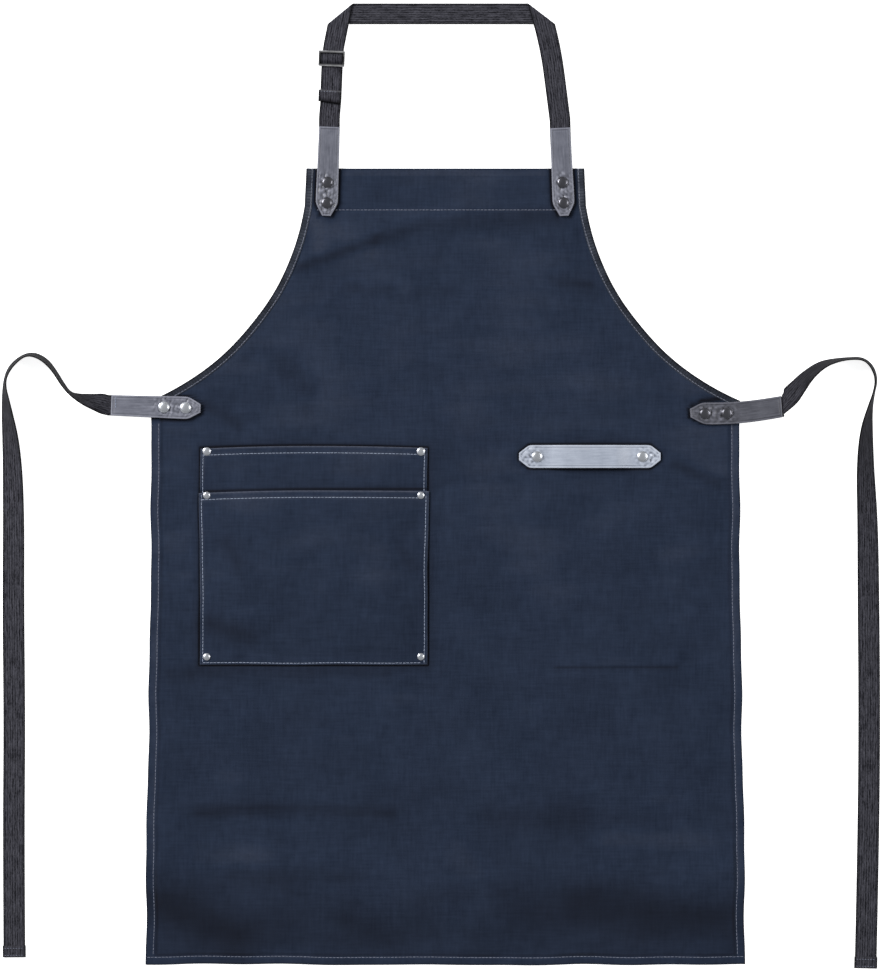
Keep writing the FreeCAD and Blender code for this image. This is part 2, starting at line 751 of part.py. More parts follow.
def tie(name, route, raised):
    """Webbing along straight runs and tangent arcs. Prints its length and radii, and its volume's share."""
    points = [V(x, y, z) for x, y, z, tilt in route]
    tilts = [tilt for x, y, z, tilt in route]
    edges, radii, sections = [], [], []
    start = points[0]
    sections.append(station(start, (points[1] - start).normalize(), tilts[0], raised))
    for i in range(1, len(points) - 1):
        here = points[i]
        run_in, run_out = here - points[i - 1], points[i + 1] - here
        half_turn = run_in.getAngle(run_out) / 2
        cut = ARC_SHARE * min(run_in.Length, run_out.Length)
        radius = cut / math.tan(half_turn)
        radii.append(radius)
        into, out = V(run_in).normalize(), V(run_out).normalize()
        arc_start, arc_end = here - into * cut, here + out * cut
        to_centre = (out - into).normalize()
        middle = here + to_centre * (math.hypot(radius, cut) - radius)
        share_in, share_out = cut / run_in.Length, cut / run_out.Length
        tilt_in = tilts[i] + (tilts[i - 1] - tilts[i]) * share_in
        tilt_out = tilts[i] + (tilts[i + 1] - tilts[i]) * share_out
        sections.append(station(arc_start, into, tilt_in, raised))
        sections.append(station(middle, (into + out).normalize(), tilts[i], raised))
        sections.append(station(arc_end, out, tilt_out, raised))
        edges += [Part.LineSegment(start, arc_start).toShape(), Part.Arc(arc_start, middle, arc_end).toShape()]
        start = arc_end
    sections.append(station(points[-1], (points[-1] - points[-2]).normalize(), tilts[-1], raised))
    edges.append(Part.LineSegment(start, points[-1]).toShape())
    length = Part.Wire(edges).Length
    shape = webbing(sections)
    expected = length * value("webbing_width * webbing_thick")
    print(f"{name}: length {length:.1f} mm, volume share {shape.Volume / expected:.3f}")
    print("  radii", " ".join(f"{radius:.0f}" for radius in radii))
    shaped(name, shape)


def tie_hem(name, route):
    """Folded and sewn end of a tie, in line with its last run."""
    (x, y), (x_end, y_end) = route[-2][:2], route[-1][:2]
    frame = frame_at(x_end, y_end, 180 - math.degrees(math.atan2(x - x_end, y - y_end)))
    half = "tie_hem_wide / 2"
    corners = rectangle(minus(half), "0", half, "tie_hem_long")
    label(plate(name + "_webbing", [corners], "0", "tie_hem_thick", frame=frame), name)


tie("left_waist_tie", LEFT_ROUTE, 1)
tie("right_waist_tie", RIGHT_ROUTE, -1)
tie_hem("left_tie_end_hem", LEFT_ROUTE)
tie_hem("right_tie_end_hem", RIGHT_ROUTE)

# Checks and export

doc.recompute()
for item in doc.Objects:
    if {"Invalid", "Error"} & set(item.State):
        raise RuntimeError(f"{item.Name} is {item.State}")
os.makedirs("parts", exist_ok=True)
for node in nodes:
    if node.Shape.isNull() or not node.Shape.isValid() or not node.Shape.Solids:
        raise RuntimeError(f"{node.Label} has no valid solid")
    node.Shape.exportStep(f"parts/{node.Label}.step")
print(len(nodes), "sub-parts")
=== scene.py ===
"""The look of a canvas bib apron that lies flat on its back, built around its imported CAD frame.

Lengths in this file are in millimetres until a mesh is made. +X is to the right as the front is seen,
+Y points to the neck, and +Z out of the front. The surface that the apron lies on is z = 0.
"""

import math

import bmesh
import bpy
import numpy as np
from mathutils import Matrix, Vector


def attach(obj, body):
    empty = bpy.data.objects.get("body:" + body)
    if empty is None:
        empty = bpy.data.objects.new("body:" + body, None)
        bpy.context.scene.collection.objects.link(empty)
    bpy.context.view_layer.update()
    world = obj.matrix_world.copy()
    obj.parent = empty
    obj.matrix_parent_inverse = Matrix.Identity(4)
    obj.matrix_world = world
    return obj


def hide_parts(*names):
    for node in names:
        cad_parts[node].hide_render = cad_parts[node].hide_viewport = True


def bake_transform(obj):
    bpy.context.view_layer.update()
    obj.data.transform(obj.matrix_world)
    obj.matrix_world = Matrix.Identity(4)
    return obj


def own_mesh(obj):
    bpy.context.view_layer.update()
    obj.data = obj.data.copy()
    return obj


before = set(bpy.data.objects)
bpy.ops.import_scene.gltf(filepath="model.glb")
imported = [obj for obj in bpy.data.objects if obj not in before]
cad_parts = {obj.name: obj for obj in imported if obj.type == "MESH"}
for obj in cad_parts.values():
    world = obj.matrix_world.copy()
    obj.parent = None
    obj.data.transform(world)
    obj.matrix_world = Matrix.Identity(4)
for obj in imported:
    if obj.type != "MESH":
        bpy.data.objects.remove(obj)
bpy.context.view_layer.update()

MM = 0.001
scene = bpy.context.scene

# Camera: straight above, as in the photograph

LENS = 100
SENSOR = 36
VIEW_TALL = 1068.1
VIEW_CENTRE = (-4.2, -1.9)

camera_data = bpy.data.cameras.new("camera")
camera_data.lens = LENS
camera_data.sensor_width = SENSOR
camera_data.clip_end = 20
camera = bpy.data.objects.new("camera", camera_data)
camera.location = (VIEW_CENTRE[0] * MM, VIEW_CENTRE[1] * MM, VIEW_TALL * MM * LENS / SENSOR)
scene.collection.objects.link(camera)
scene.camera = camera
scene.view_settings.view_transform = "Standard"

# The routes of the two waist ties: x, y and z of the middle line, and how far it is tipped up on its edge in
# degrees. They are the CAD's points, most of them moved, by up to 28 mm, by a least-squares fit to the outline of
# the ties in the photograph.

LEFT_ROUTE = [
    (-369.9, 86.3, 3.1, 6),
    (-379.1, 88.3, 7.0, 33),
    (-392.4, 91.3, 10.2, 54),
    (-404.2, 95.5, 11.8, 75),
    (-413.0, 100.5, 12.0, 88),
    (-420.2, 110.3, 12.0, 86),
    (-428.0, 123.2, 12.0, 86),
    (-437.0, 134.2, 11.9, 81),
    (-447.8, 141.0, 11.9, 79),
    (-458.6, 142.0, 11.9, 79),
    (-469.0, 135.9, 11.7, 75),
    (-478.6, 125.6, 11.7, 73),
    (-483.8, 110.5, 11.9, 77),
    (-481.4, 86.0, 10.6, 58),
    (-475.8, 38.0, 6.2, 27),
    (-474.4, -32.9, 1.8, 5),
    (-475.2, -130.0, 0.75, 0),
    (-473.8, -260.0, 0.75, 0),
    (-474.8, -390.0, 0.75, 0),
    (-474.0, -508.6, 0.75, 0),
]
RIGHT_ROUTE = [
    (369.9, 86.0, 3.1, 4),
    (376.0, 93.0, 6.0, 25),
    (385.5, 104.6, 9.0, 44),
    (397.0, 118.6, 10.7, 60),
    (412.4, 130.8, 11.5, 70),
    (429.2, 135.8, 12.0, 80),
    (445.5, 137.6, 12.0, 83),
    (458.5, 137.0, 11.9, 79),
    (468.0, 128.5, 11.7, 74),
    (472.6, 114.5, 11.8, 76),
    (469.6, 99.5, 11.9, 79),
    (465.0, 81.5, 11.3, 68),
    (461.5, 57.0, 9.2, 46),
    (460.9, 17.0, 6.3, 29),
    (464.2, -44.0, 3.3, 13),
    (465.4, -130.0, 0.75, 0),
    (466.4, -250.0, 0.75, 0),
    (465.4, -386.0, 0.75, 0),
    (462.4, -520.7, 0.75, 0),
]
TIE_WIDE = 24.0
TIE_THICK = 1.4

# Materials

THREAD_PITCH = 0.85
WAVE_LENGTH = 314.16  # a wave texture of scale 1 repeats after this many millimetres
WEAVE_WAVE = WAVE_LENGTH * MM  # and after this many of the weave's own units
WEB_RIBS, WEB_PICKS = 9, 24  # in a width of webbing, and in the same length of it


class Paint:
    """A material in the making: its node tree, and its shader with the given sockets set."""

    def __init__(self, name, roughness, metallic=0.0, sheen=0.0, specular=0.5, coat=0.0):
        self.made = bpy.data.materials.new(name)
        self.made.use_nodes = True
        self.tree = self.made.node_tree
        self.shader = self.tree.nodes["Principled BSDF"]
        plain = {"Roughness": roughness, "Metallic": metallic, "Sheen Weight": sheen, "Sheen Roughness": 0.5}
        for socket, value in {**plain, "Specular IOR Level": specular, "Coat Weight": coat}.items():
            self.shader.inputs[socket].default_value = value

    def link(self, socket, value):
        self.tree.links.new(value, self.shader.inputs[socket])

    def add(self, kind, inputs=(), **settings):
        """A node with its settings and inputs; an input is a value or another node's output."""
        node = self.tree.nodes.new("ShaderNode" + kind)
        for word, setting in settings.items():
            setattr(node, word, setting)
        for key, given in dict(inputs).items():
            if isinstance(given, bpy.types.NodeSocket):
                self.tree.links.new(given, node.inputs[key])
            else:
                node.inputs[key].default_value = given
        return node

    def place(self, scale=(1, 1, 1), uv=False):
        """Coordinates of the surface, in metres or in the weave's own units, scaled on each axis."""
        if uv:
            source = self.add("UVMap", uv_map="weave").outputs["UV"]
        else:
            source = self.add("TexCoord").outputs["Object"]
        return self.add("Mapping", {"Vector": source, "Scale": scale}).outputs["Vector"]

    def speckle(self, scale, detail=2.0, rough=0.5, uv=False):
        """Noise from 0 to 1; scale is one number, or one for each axis."""
        scale = scale if isinstance(scale, tuple) else (scale, scale, scale)
        inputs = {"Vector": self.place(scale, uv), "Scale": 1.0, "Detail": detail, "Roughness": rough}
        return self.add("TexNoise", inputs).outputs["Fac"]

    def stretch(self, value, low, high, to_low=0.0, to_high=1.0):
        """A value brought from one range to another."""
        inputs = {"Value": value, "From Min": low, "From Max": high, "To Min": to_low, "To Max": to_high}
        return self.add("MapRange", inputs).outputs["Result"]

    def maths(self, operation, first, second=0.0):
        return self.add("Math", {0: first, 1: second}, operation=operation).outputs[0]

    def weighted(self, *parts):
        """The sum of values, each given with its weight."""
        total, *others = [self.maths("MULTIPLY", value, weight) for value, weight in parts]
        for other in others:
            total = self.maths("ADD", total, other)
        return total

    def tinted(self, first, second, share):
        """Colour between two, each a tuple or an output."""
        first, second = [(*c, 1) if isinstance(c, tuple) else c for c in (first, second)]
        return self.add("Mix", {"Factor": share, 6: first, 7: second}, data_type="RGBA").outputs[2]

    def bands(self, vector, axis, scale, distortion):
        """Sine bands across one axis."""
        inputs = {"Vector": vector, "Scale": scale, "Distortion": distortion}
        fine = {"Detail": 1.0, "Detail Scale": 1.5}
        return self.add("TexWave", {**inputs, **fine}, bands_direction=axis).outputs["Fac"]

    def bumped(self, *heights):
        """Chains bumps onto the shader's normal; each is (height, strength, distance in mm)."""
        normal = {}
        for height, strength, distance in heights:
            inputs = {"Height": height, "Strength": strength, "Distance": distance * MM, **normal}
            normal = {"Normal": self.add("Bump", inputs).outputs["Normal"]}
        self.link("Normal", normal["Normal"])

    def wear_and_painted_light(self, colour, pale, painted_shade_colour):
        """Mixes in a pale colour where the mesh marks wear and painted highlights, and a deep one where it marks
        painted shade.
        """
        amount = self.add("Attribute", attribute_name="painted_light_and_wear").outputs["Fac"]
        fray = self.stretch(self.speckle(300, detail=3.0), 0.3, 0.7, 0.5, 1.0)
        pale_wear_and_highlight = self.maths("MULTIPLY", self.maths("MAXIMUM", amount), fray)
        painted_shade_amount = self.maths("MULTIPLY", self.maths("MINIMUM", amount), -1.0)
        return self.tinted(self.tinted(colour, pale, pale_wear_and_highlight), painted_shade_colour, painted_shade_amount)


def canvas_material(name, dark, light, pale, painted_shade_colour):
    """Dyed cotton canvas: plain weave, slubs along both threads, mottled dye, and paler wear, painted highlights
    and painted shade where the mesh marks them.
    """
    paint = Paint(name, 0.86, sheen=0.06, specular=0.12)
    cloud = paint.speckle((16, 13, 16), detail=4.0, rough=0.6)
    blot = paint.speckle((95, 70, 95), detail=3.0, rough=0.65)
    slub_up = paint.speckle((480, 42, 100), detail=3.0)
    slub_over = paint.speckle((38, 520, 100), detail=3.0)
    slubs = paint.weighted((slub_up, 0.5), (slub_over, 0.5))
    share = paint.weighted((cloud, 0.45), (blot, 0.5), (slubs, 0.8))
    colour = paint.tinted(dark, light, paint.stretch(share, 0.61, 1.19))
    paint.link("Base Color", paint.wear_and_painted_light(colour, pale, painted_shade_colour))
    paint.link("Roughness", paint.stretch(blot, 0.2, 0.8, 0.78, 0.92))
    vector = paint.place()
    warp, weft = [paint.bands(vector, axis, WAVE_LENGTH / THREAD_PITCH, 0.6) for axis in "XY"]
    paint.bumped((slubs, 0.35, 0.25), (paint.maths("MAXIMUM", warp, weft), 0.4, 0.12))
    return paint.made


def webbing_material(name, dark, light, pale, painted_shade_colour):
    """Ribbed webbing: uneven ribs along it, fine picks across it, and painted shade along its edges."""
    paint = Paint(name, 0.8, sheen=0.0, specular=0.08)
    vector = paint.place(uv=True)
    ribs = paint.bands(vector, "X", WEB_RIBS * WEAVE_WAVE, 1.6)
    picks = paint.bands(vector, "Y", WEB_PICKS * WEAVE_WAVE, 1.2)
    streak = paint.speckle((13, 1.6, 1), detail=3.0, uv=True)
    fine = paint.speckle((24, 8.0, 1), detail=3.0, rough=0.7, uv=True)
    mottle = paint.speckle((5, 2.2, 1), detail=4.0, rough=0.7, uv=True)
    share = paint.weighted((ribs, 0.18), (streak, 0.75), (mottle, 0.35), (fine, 0.75))
    colour = paint.tinted(dark, light, paint.stretch(share, 0.8, 1.3))
    # Painted shade: both edges of the webbing are darkened nearly to the deep colour.
    across = paint.add("SeparateXYZ", {0: vector}).outputs["X"]
    off = paint.maths("ABSOLUTE", paint.maths("SUBTRACT", across, 0.5))
    colour = paint.tinted(colour, painted_shade_colour, paint.stretch(off, 0.405, 0.465, 0.0, 0.92))
    paint.link("Base Color", paint.wear_and_painted_light(colour, pale, painted_shade_colour))
    paint.link("Roughness", paint.stretch(mottle, 0.2, 0.8, 0.72, 0.9))
    paint.bumped((ribs, 0.35, 0.3), (picks, 0.5, 0.15), (streak, 0.3, 0.15))
    return paint.made


def leather_material(name, dark, light, edge, painted_shade_colour, roughness):
    """Smooth leather: fine pebbled grain, long soft streaks, an edge colour for pale wear and painted highlights,
    and a deep colour for painted shade.
    """
    paint = Paint(name, roughness, coat=0.08)
    cloud = paint.speckle(45, detail=5.0, rough=0.6)
    streak = paint.speckle((14, 1.1, 1), detail=4.0, rough=0.65, uv=True)
    cells = paint.add("TexVoronoi", {"Vector": paint.place(), "Scale": 1150.0}).outputs["Distance"]
    share = paint.weighted((cloud, 0.55), (streak, 0.55))
    colour = paint.tinted(dark, light, paint.stretch(share, 0.38, 0.72))
    paint.link("Base Color", paint.wear_and_painted_light(colour, edge, painted_shade_colour))
    paint.link("Roughness", paint.stretch(cloud, 0.25, 0.75, roughness - 0.07, roughness + 0.09))
    paint.bumped((cells, 0.3, 0.12), (streak, 0.2, 0.12), (cloud, 0.25, 0.4))
    return paint.made


def metal_material(name, colour, roughness):
    """Plated metal with faint smudges and fine scratches."""
    paint = Paint(name, roughness, metallic=1.0)
    smudge = paint.speckle(420, detail=4.0, rough=0.6)
    scratch = paint.speckle((3500, 260, 900))
    dull = tuple(c * 0.78 for c in colour)
    paint.link("Base Color", paint.tinted(colour, dull, paint.stretch(smudge, 0.4, 0.75)))
    paint.link("Roughness", paint.stretch(smudge, 0.25, 0.75, roughness - 0.06, roughness + 0.12))
    paint.bumped((scratch, 0.12, 0.03), (smudge, 0.1, 0.06))
    return paint.made


def plastic_material(name, colour, painted_light_and_wear, painted_shade_colour, roughness):
    """Moulded plastic with a faint orange-peel texture, and edges painted pale as a painted highlight."""
    paint = Paint(name, roughness, specular=0.6)
    peel = paint.speckle(1600)
    cloud = paint.speckle(130, detail=3.0)
    tint = paint.tinted(colour, tuple(c * 1.5 for c in colour), paint.stretch(cloud, 0.35, 0.75))
    paint.link("Base Color", paint.wear_and_painted_light(tint, painted_light_and_wear, painted_shade_colour))
    paint.link("Roughness", paint.stretch(cloud, 0.3, 0.7, roughness - 0.05, roughness + 0.08))
    paint.bumped((peel, 0.15, 0.04))
    return paint.made


def thread_material(name, dark, light):
    """Twisted cotton thread."""
    paint = Paint(name, 0.75, sheen=0.15, specular=0.3)
    fleck = paint.speckle(260, detail=3.0, rough=0.7)
    paint.link("Base Color", paint.tinted(dark, light, paint.stretch(fleck, 0.3, 0.7)))
    paint.bumped((paint.speckle(1800, detail=1.0), 0.4, 0.1))
    return paint.made


# In the cloth, webbing, leather and plastic materials below, the last colour given is painted shade, and the one
# before it is pale wear and painted highlight; both go where the mesh's marks ask.
CANVAS = canvas_material(
    "canvas",
    (0.005, 0.0099, 0.023),
    (0.0159, 0.0245, 0.0472),
    (0.0637, 0.0707, 0.098),
    (0.0008, 0.0012, 0.0045),
)
BINDING = canvas_material(
    "binding_tape", (0.009, 0.012, 0.019), (0.034, 0.039, 0.053), (0.13, 0.14, 0.165), (0.0008, 0.001, 0.003)
)
WEBBING = webbing_material(
    "webbing", (0.002, 0.002, 0.0035), (0.0628, 0.0622, 0.0762), (0.16, 0.16, 0.17), (0.001, 0.001, 0.0015)
)
TAB_LEATHER = leather_material(
    "tab_leather", (0.06, 0.063, 0.084), (0.145, 0.15, 0.185), (0.3, 0.305, 0.36), (0.008, 0.009, 0.014), 0.42
)
DARK_LEATHER = leather_material(
    "dark_leather", (0.03, 0.031, 0.042), (0.09, 0.092, 0.113), (0.2, 0.2, 0.245), (0.004, 0.004, 0.008), 0.42
)
# A paler copy of the tab leather for the tool loop: painted sheen.
PAINTED_SHEEN_LOOP_LEATHER = leather_material(
    "loop_leather", (0.225, 0.25, 0.305), (0.335, 0.365, 0.43), (0.55, 0.58, 0.65), (0.05, 0.055, 0.075), 0.36
)
NICKEL = metal_material("nickel", (0.6, 0.62, 0.66), 0.3)
# A darker copy of the nickel, for caps whose domes show dark reflections: painted reflection.
NICKEL_PAINTED_DARK_REFLECTION = metal_material("nickel_painted_dark_reflection", (0.11, 0.11, 0.125), 0.27)
SLIDER_PLASTIC = plastic_material(
    "slider_plastic", (0.007, 0.007, 0.008), (0.3, 0.3, 0.31), (0.002, 0.002, 0.002), 0.5
)
THREAD = thread_material("thread", (0.17, 0.2, 0.275), (0.31, 0.355, 0.455))
DIM_THREAD = thread_material("dim_thread", (0.09, 0.1, 0.14), (0.19, 0.205, 0.27))

# Meshes


def add_mesh(name, points, faces, mat, body="apron", uv=None, painted_light_and_wear=None, sharp=38):
    """A piece from points in millimetres. uv and worn hold one value for each point."""
    mesh = bpy.data.meshes.new(name)
    mesh.from_pydata((np.asarray(points, float) * MM).tolist(), [], [tuple(map(int, f)) for f in faces])
    made = bmesh.new()
    made.from_mesh(mesh)
    bmesh.ops.recalc_face_normals(made, faces=made.faces)
    made.to_mesh(mesh)
    made.free()
    mesh.shade_smooth()
    mesh.set_sharp_from_angle(angle=math.radians(sharp))
    if uv is not None:
        layer = mesh.uv_layers.new(name="weave")
        corners = np.zeros(len(mesh.loops), int)
        mesh.loops.foreach_get("vertex_index", corners)
        layer.data.foreach_set("uv", np.asarray(uv, np.float32)[corners].ravel())
    if painted_light_and_wear is not None:
        mesh.attributes.new("painted_light_and_wear", "FLOAT", "POINT").data.foreach_set("value", np.asarray(painted_light_and_wear, np.float32))
    mesh.materials.append(mat)
    made = bpy.data.objects.new(name, mesh)
    scene.collection.objects.link(made)
    if body:
        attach(made, body)
    return made


def stand_in(piece, node):
    """Shows a piece in place of a CAD node, which it hides."""
    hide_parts(node)
    return piece


def grid_faces(rows, columns, start=0):
    """Faces of a grid of points."""
    index = start + np.arange(rows * columns).reshape(rows, columns)
    quads = np.stack([index[:-1, :-1], index[:-1, 1:], index[1:, 1:], index[1:, :-1]], -1)
    return quads.reshape(-1, 4).tolist()


def slab(name, top, bottom, mat, uv=None, painted_light_and_wear=None, sharp=38):
    """Closed sheet between two grids of points with the same outline."""
    rows, columns = top.shape[:2]
    count = rows * columns
    index = np.arange(count).reshape(rows, columns)
    rim = np.concatenate([index[0, :-1], index[:-1, -1], index[-1, :0:-1], index[:0:-1, 0]])
    faces = grid_faces(rows, columns) + [f[::-1] for f in grid_faces(rows, columns, count)]
    faces += [(a, a + count, b + count, b) for a, b in zip(rim, np.roll(rim, -1))]
    points = np.concatenate([top.reshape(-1, 3), bottom.reshape(-1, 3)])
    flat = [None if x is None else x.reshape(count, -1).squeeze() for x in (uv, painted_light_and_wear)]
    uv, painted_light_and_wear = [None if x is None else np.concatenate([x, x]) for x in flat]
    return add_mesh(name, points, faces, mat, uv=uv, painted_light_and_wear=painted_light_and_wear, sharp=sharp)


def canvas_piece(name, top, bottom, node, painted_light_and_wear=None):
    """A slab of canvas that stands in for a CAD node."""
    return stand_in(slab(name, top, bottom, CANVAS, painted_light_and_wear=painted_light_and_wear), node)


def bar_faces(stations, around, start=0):
    """Faces of a closed bar whose points lie in rings."""
    index = start + np.arange(stations * around).reshape(stations, around)
    beside = np.roll(index, -1, axis=1)
    quads = np.stack([index[:-1], beside[:-1], beside[1:], index[1:]], -1).reshape(-1, 4).tolist()
    return quads + [index[0, ::-1].tolist(), index[-1].tolist()]


def sweep(name, sections, mat, body="apron", uv=None, painted_light_and_wear=None, sharp=38):
    """Closed bar through rings of points: sections is stations by points by 3."""
    uv = None if uv is None else uv.reshape(-1, 2)
    painted_light_and_wear = None if painted_light_and_wear is None else painted_light_and_wear.ravel()
    return add_mesh(name, sections.reshape(-1, 3), bar_faces(*sections.shape[:2]), mat, body, uv, painted_light_and_wear, sharp)


def web_piece(name, sections, uv, node, body="apron", painted_light_and_wear=None):
    """A piece of webbing. Its body is None if it is attached to no body."""
    return stand_in(sweep(name, sections, WEBBING, body, uv, painted_light_and_wear, sharp=50), node)


def smoothstep(value, low, high):
    share = np.clip((value - low) / (high - low), 0, 1)
    return share * share * (3 - 2 * share)


def bell(distance, width):
    return np.exp(-((distance / width) ** 2))


def rounding(distance, radius):
    """How far the surface has dropped at a distance from an edge that is rounded."""
    return radius - np.sqrt(radius**2 - np.clip(radius - distance, 0, radius) ** 2)


def merged(*values, closest=0.12):
    """Sorted stops without any that lie too close to the one before."""
    kept = []
    for stop in sorted(np.concatenate([np.atleast_1d(np.asarray(v, float)) for v in values])):
        if not kept or stop - kept[-1] > closest:
            kept.append(stop)
    return np.array(kept)


def length_along(points):
    """How far along a line each of its points is."""
    return np.concatenate([[0], np.cumsum(np.linalg.norm(np.diff(points, axis=0), axis=1))])


def waves(x, y, seed, count, shortest, longest):
    """Smooth random unevenness about 1 high: a sum of plane waves."""
    draws = np.random.default_rng(seed)
    total = np.zeros(np.broadcast(x, y).shape)
    for _ in range(count):
        angle, phase = draws.uniform(0, math.pi), draws.uniform(0, 2 * math.pi)
        number = 2 * math.pi / draws.uniform(shortest, longest)
        total += np.cos((x * math.cos(angle) + y * math.sin(angle)) * number + phase)
    return total * math.sqrt(2 / count)


# Outline and surface of the body panel

BIB_TOP, ARM_TOP, WAIST_TOP, SKIRT_TURN, FOOT = 346.8, 306.0, 91.0, -110.0, -528.8
BIB_HALF, ARM_HALF, WAIST_HALF, FOOT_HALF = 152.4, 154.0, 324.0, 329.7
ARM_RADIUS = 285.0
ARM_CENTRE = (435.0, 353.5)
CANVAS_THICK = 0.8
PANEL_TOP = 2.4
FOLD_RADIUS = 1.2
LEAST_HEIGHT = 0.95
SEAM = 8.5
ARM_SEAM = 6.4
BAND_SEAM = 301.0
POCKET_LEFT, POCKET_RIGHT, POCKET_FOOT = -269.3, -19.6, -198.8
REAR_MOUTH, FRONT_MOUTH = 41.5, -7.4


def edge_x(y, inset):
    """X of the right edge at a height in plan, moved in square to it by inset."""
    y = np.asarray(y, float)
    bib = ARM_HALF + (y - ARM_TOP) * (BIB_HALF - ARM_HALF) / (BIB_TOP - ARM_TOP) - inset
    under = (ARM_RADIUS + inset) ** 2 - (y - ARM_CENTRE[1]) ** 2
    arm = np.where(under > 0, ARM_CENTRE[0] - np.sqrt(np.maximum(under, 0)), 1e3)
    flare = (FOOT_HALF - WAIST_HALF) / (SKIRT_TURN - FOOT)
    skirt = WAIST_HALF + np.maximum(SKIRT_TURN - y, 0) * flare - inset
    return np.where(y > ARM_TOP, bib, np.minimum(arm, skirt))


def edge_distance(x, y):
    """How far inside the outline a point is: from the side or armhole, from the top, and from the foot."""
    arm = np.hypot(np.abs(x) - ARM_CENTRE[0], y - ARM_CENTRE[1]) - ARM_RADIUS
    bib = ARM_HALF - np.abs(x) + (y - ARM_TOP) * (BIB_HALF - ARM_HALF) / (BIB_TOP - ARM_TOP)
    skirt = edge_x(np.minimum(y, SKIRT_TURN + 1), 0) - np.abs(x)
    side = np.where(y > ARM_TOP, bib, np.minimum(skirt, np.where(y > 40, arm, 1e3)))
    return side, BIB_TOP - y, y - FOOT


# Soft folds in the canvas: their lines in plan, half width, and height
FOLDS = [
    ([(-160, 244), (-110, 262), (-50, 279), (10, 288), (82, 296)], 11, 2.6),
    ([(-172, 221), (-120, 226), (-60, 236)], 9, -1.0),
    ([(-121, 211), (-50, 217), (-6, 207)], 8, 1.2),
    ([(126, 224), (170, 218)], 8, 1.2),
    ([(110, -203), (180, -203), (253, -202)], 2.6, -0.5),
    ([(-314, -440), (-270, -463), (-215, -471), (-160, -463), (-94, -450), (-28, -458), (38, -478)], 24, 2.6),
    ([(38, -478), (126, -485), (214, -463), (280, -436), (318, -415)], 24, 2.4),
    ([(-308, -361), (-237, -354), (-160, -361), (-72, -365)], 9, 1.3),
    ([(50, -365), (126, -348), (214, -353)], 14, 1.0),
    ([(258, 32), (302, 4)], 8, 1.4),
    ([(-314, 15), (-275, 4)], 7, 1.0),
    ([(-30, -215), (-120, -222), (-215, -214)], 6, 0.8),
    ([(-240, 130), (-170, 100), (-90, 92)], 16, 1.0),
    ([(240, 140), (190, 110), (120, 96)], 16, 1.0),
]

# Painted light and shade of the cloth's folds and creases, put into its colour: their lines in plan, half width,
# and how pale or deep
PAINTED_SHADES = [
    ([(-166, 236), (-120, 252), (-76, 268)], 5, -0.51),
    ([(-76, 268), (-30, 283), (30, 293), (118, 297)], 7, -0.3),
    ([(20, 286), (125, 288)], 8, -0.18),
    ([(-141, 290), (-138, 262)], 11, 0.26),
    ([(-120, 276), (-80, 258)], 9, 0.14),
    ([(-110, 216), (-60, 212)], 6, -0.24),
    ([(-30, 212), (6, 214)], 6, -0.21),
    ([(118, 224), (160, 219)], 5, -0.39),
    ([(-178, 130), (-153, 106)], 11, -0.3),
    ([(-263, 86), (-246, 78), (-229, 64)], 7, -0.3),
    ([(254, 21), (300, 0)], 6, -0.42),
    ([(-240, -62), (-226, -92)], 10, -0.24),
    ([(-262, -152), (-215, -168)], 12, -0.39),
    ([(-50, -72), (-34, -90)], 8, -0.21),
    ([(-200, -90), (-140, -110)], 14, 0.07),
    ([(122, -202), (254, -202)], 1.8, -0.45),
    ([(-303, -210), (-60, -208)], 7, -0.24),
    ([(-271, -361), (-170, -356), (-60, -362)], 7, -0.41),
    ([(-190, -345), (-100, -346)], 9, 0.1),
    ([(50, -366), (144, -369)], 17, -0.3),
    ([(177, -369), (250, -372)], 9, -0.15),
    ([(-320, -455), (-230, -500)], 26, -0.39),
    ([(-230, -430), (-100, -432)], 9, -0.24),
    ([(-110, -478), (-60, -500)], 16, -0.21),
    ([(60, -460), (110, -470)], 15, -0.18),
    ([(150, -462), (310, -480)], 24, -0.36),
    ([(-270, -404), (-200, -412)], 14, 0.14),
    ([(14, -405), (40, -440)], 20, 0.12),
    ([(0, -470), (10, -500)], 14, 0.14),
    ([(180, -385), (310, -400)], 15, 0.12),
    ([(-205, -518), (-150, -515)], 7, 0.17),
]


def dye_and_painted_shade(x, y):
    """How much paler or deeper than its dye the cloth is at a place: random dye mottling, darker towards the
    bottom and darker still below a wavy line near the foot, and painted fold light and shade.
    """
    amount = 0.03 * waves(x, y, 51, 24, 60, 240) + 0.03 * waves(0.35 * x, y, 52, 24, 14, 60)
    low = 440 + 9 * np.cos((x + 60) / 55) - 6 * np.cos(x / 33)
    amount = amount + 0.02 - 0.08 * smoothstep(-y, -60, 250) - 0.22 * smoothstep(-y - low, -10, 16)
    for line, width, deeper in PAINTED_SHADES:
        amount = amount + deeper * bell(line_distance(x, y, line), width)
    return amount


def line_distance(x, y, line):
    """Distance in plan from a line of points."""
    nearest = np.full(np.broadcast(x, y).shape, 1e9)
    for (ax, ay), (bx, by) in zip(line, line[1:]):
        dx, dy = bx - ax, by - ay
        share = np.clip(((x - ax) * dx + (y - ay) * dy) / (dx * dx + dy * dy), 0, 1)
        nearest = np.minimum(nearest, np.hypot(x - ax - share * dx, y - ay - share * dy))
    return nearest


def box_distance(x, y, left, foot, right, top):
    """Distance in plan outside a box."""
    beside, beyond = np.maximum(left - x, x - right), np.maximum(foot - y, y - top)
    return np.hypot(np.maximum(beside, 0), np.maximum(beyond, 0))


def heading(turn):
    """Direction and sideways direction of a frame that is turned by an angle, as the CAD turns it."""
    angle = math.radians(turn)
    return np.array([-math.sin(angle), math.cos(angle), 0]), np.array([math.cos(angle), math.sin(angle), 0])


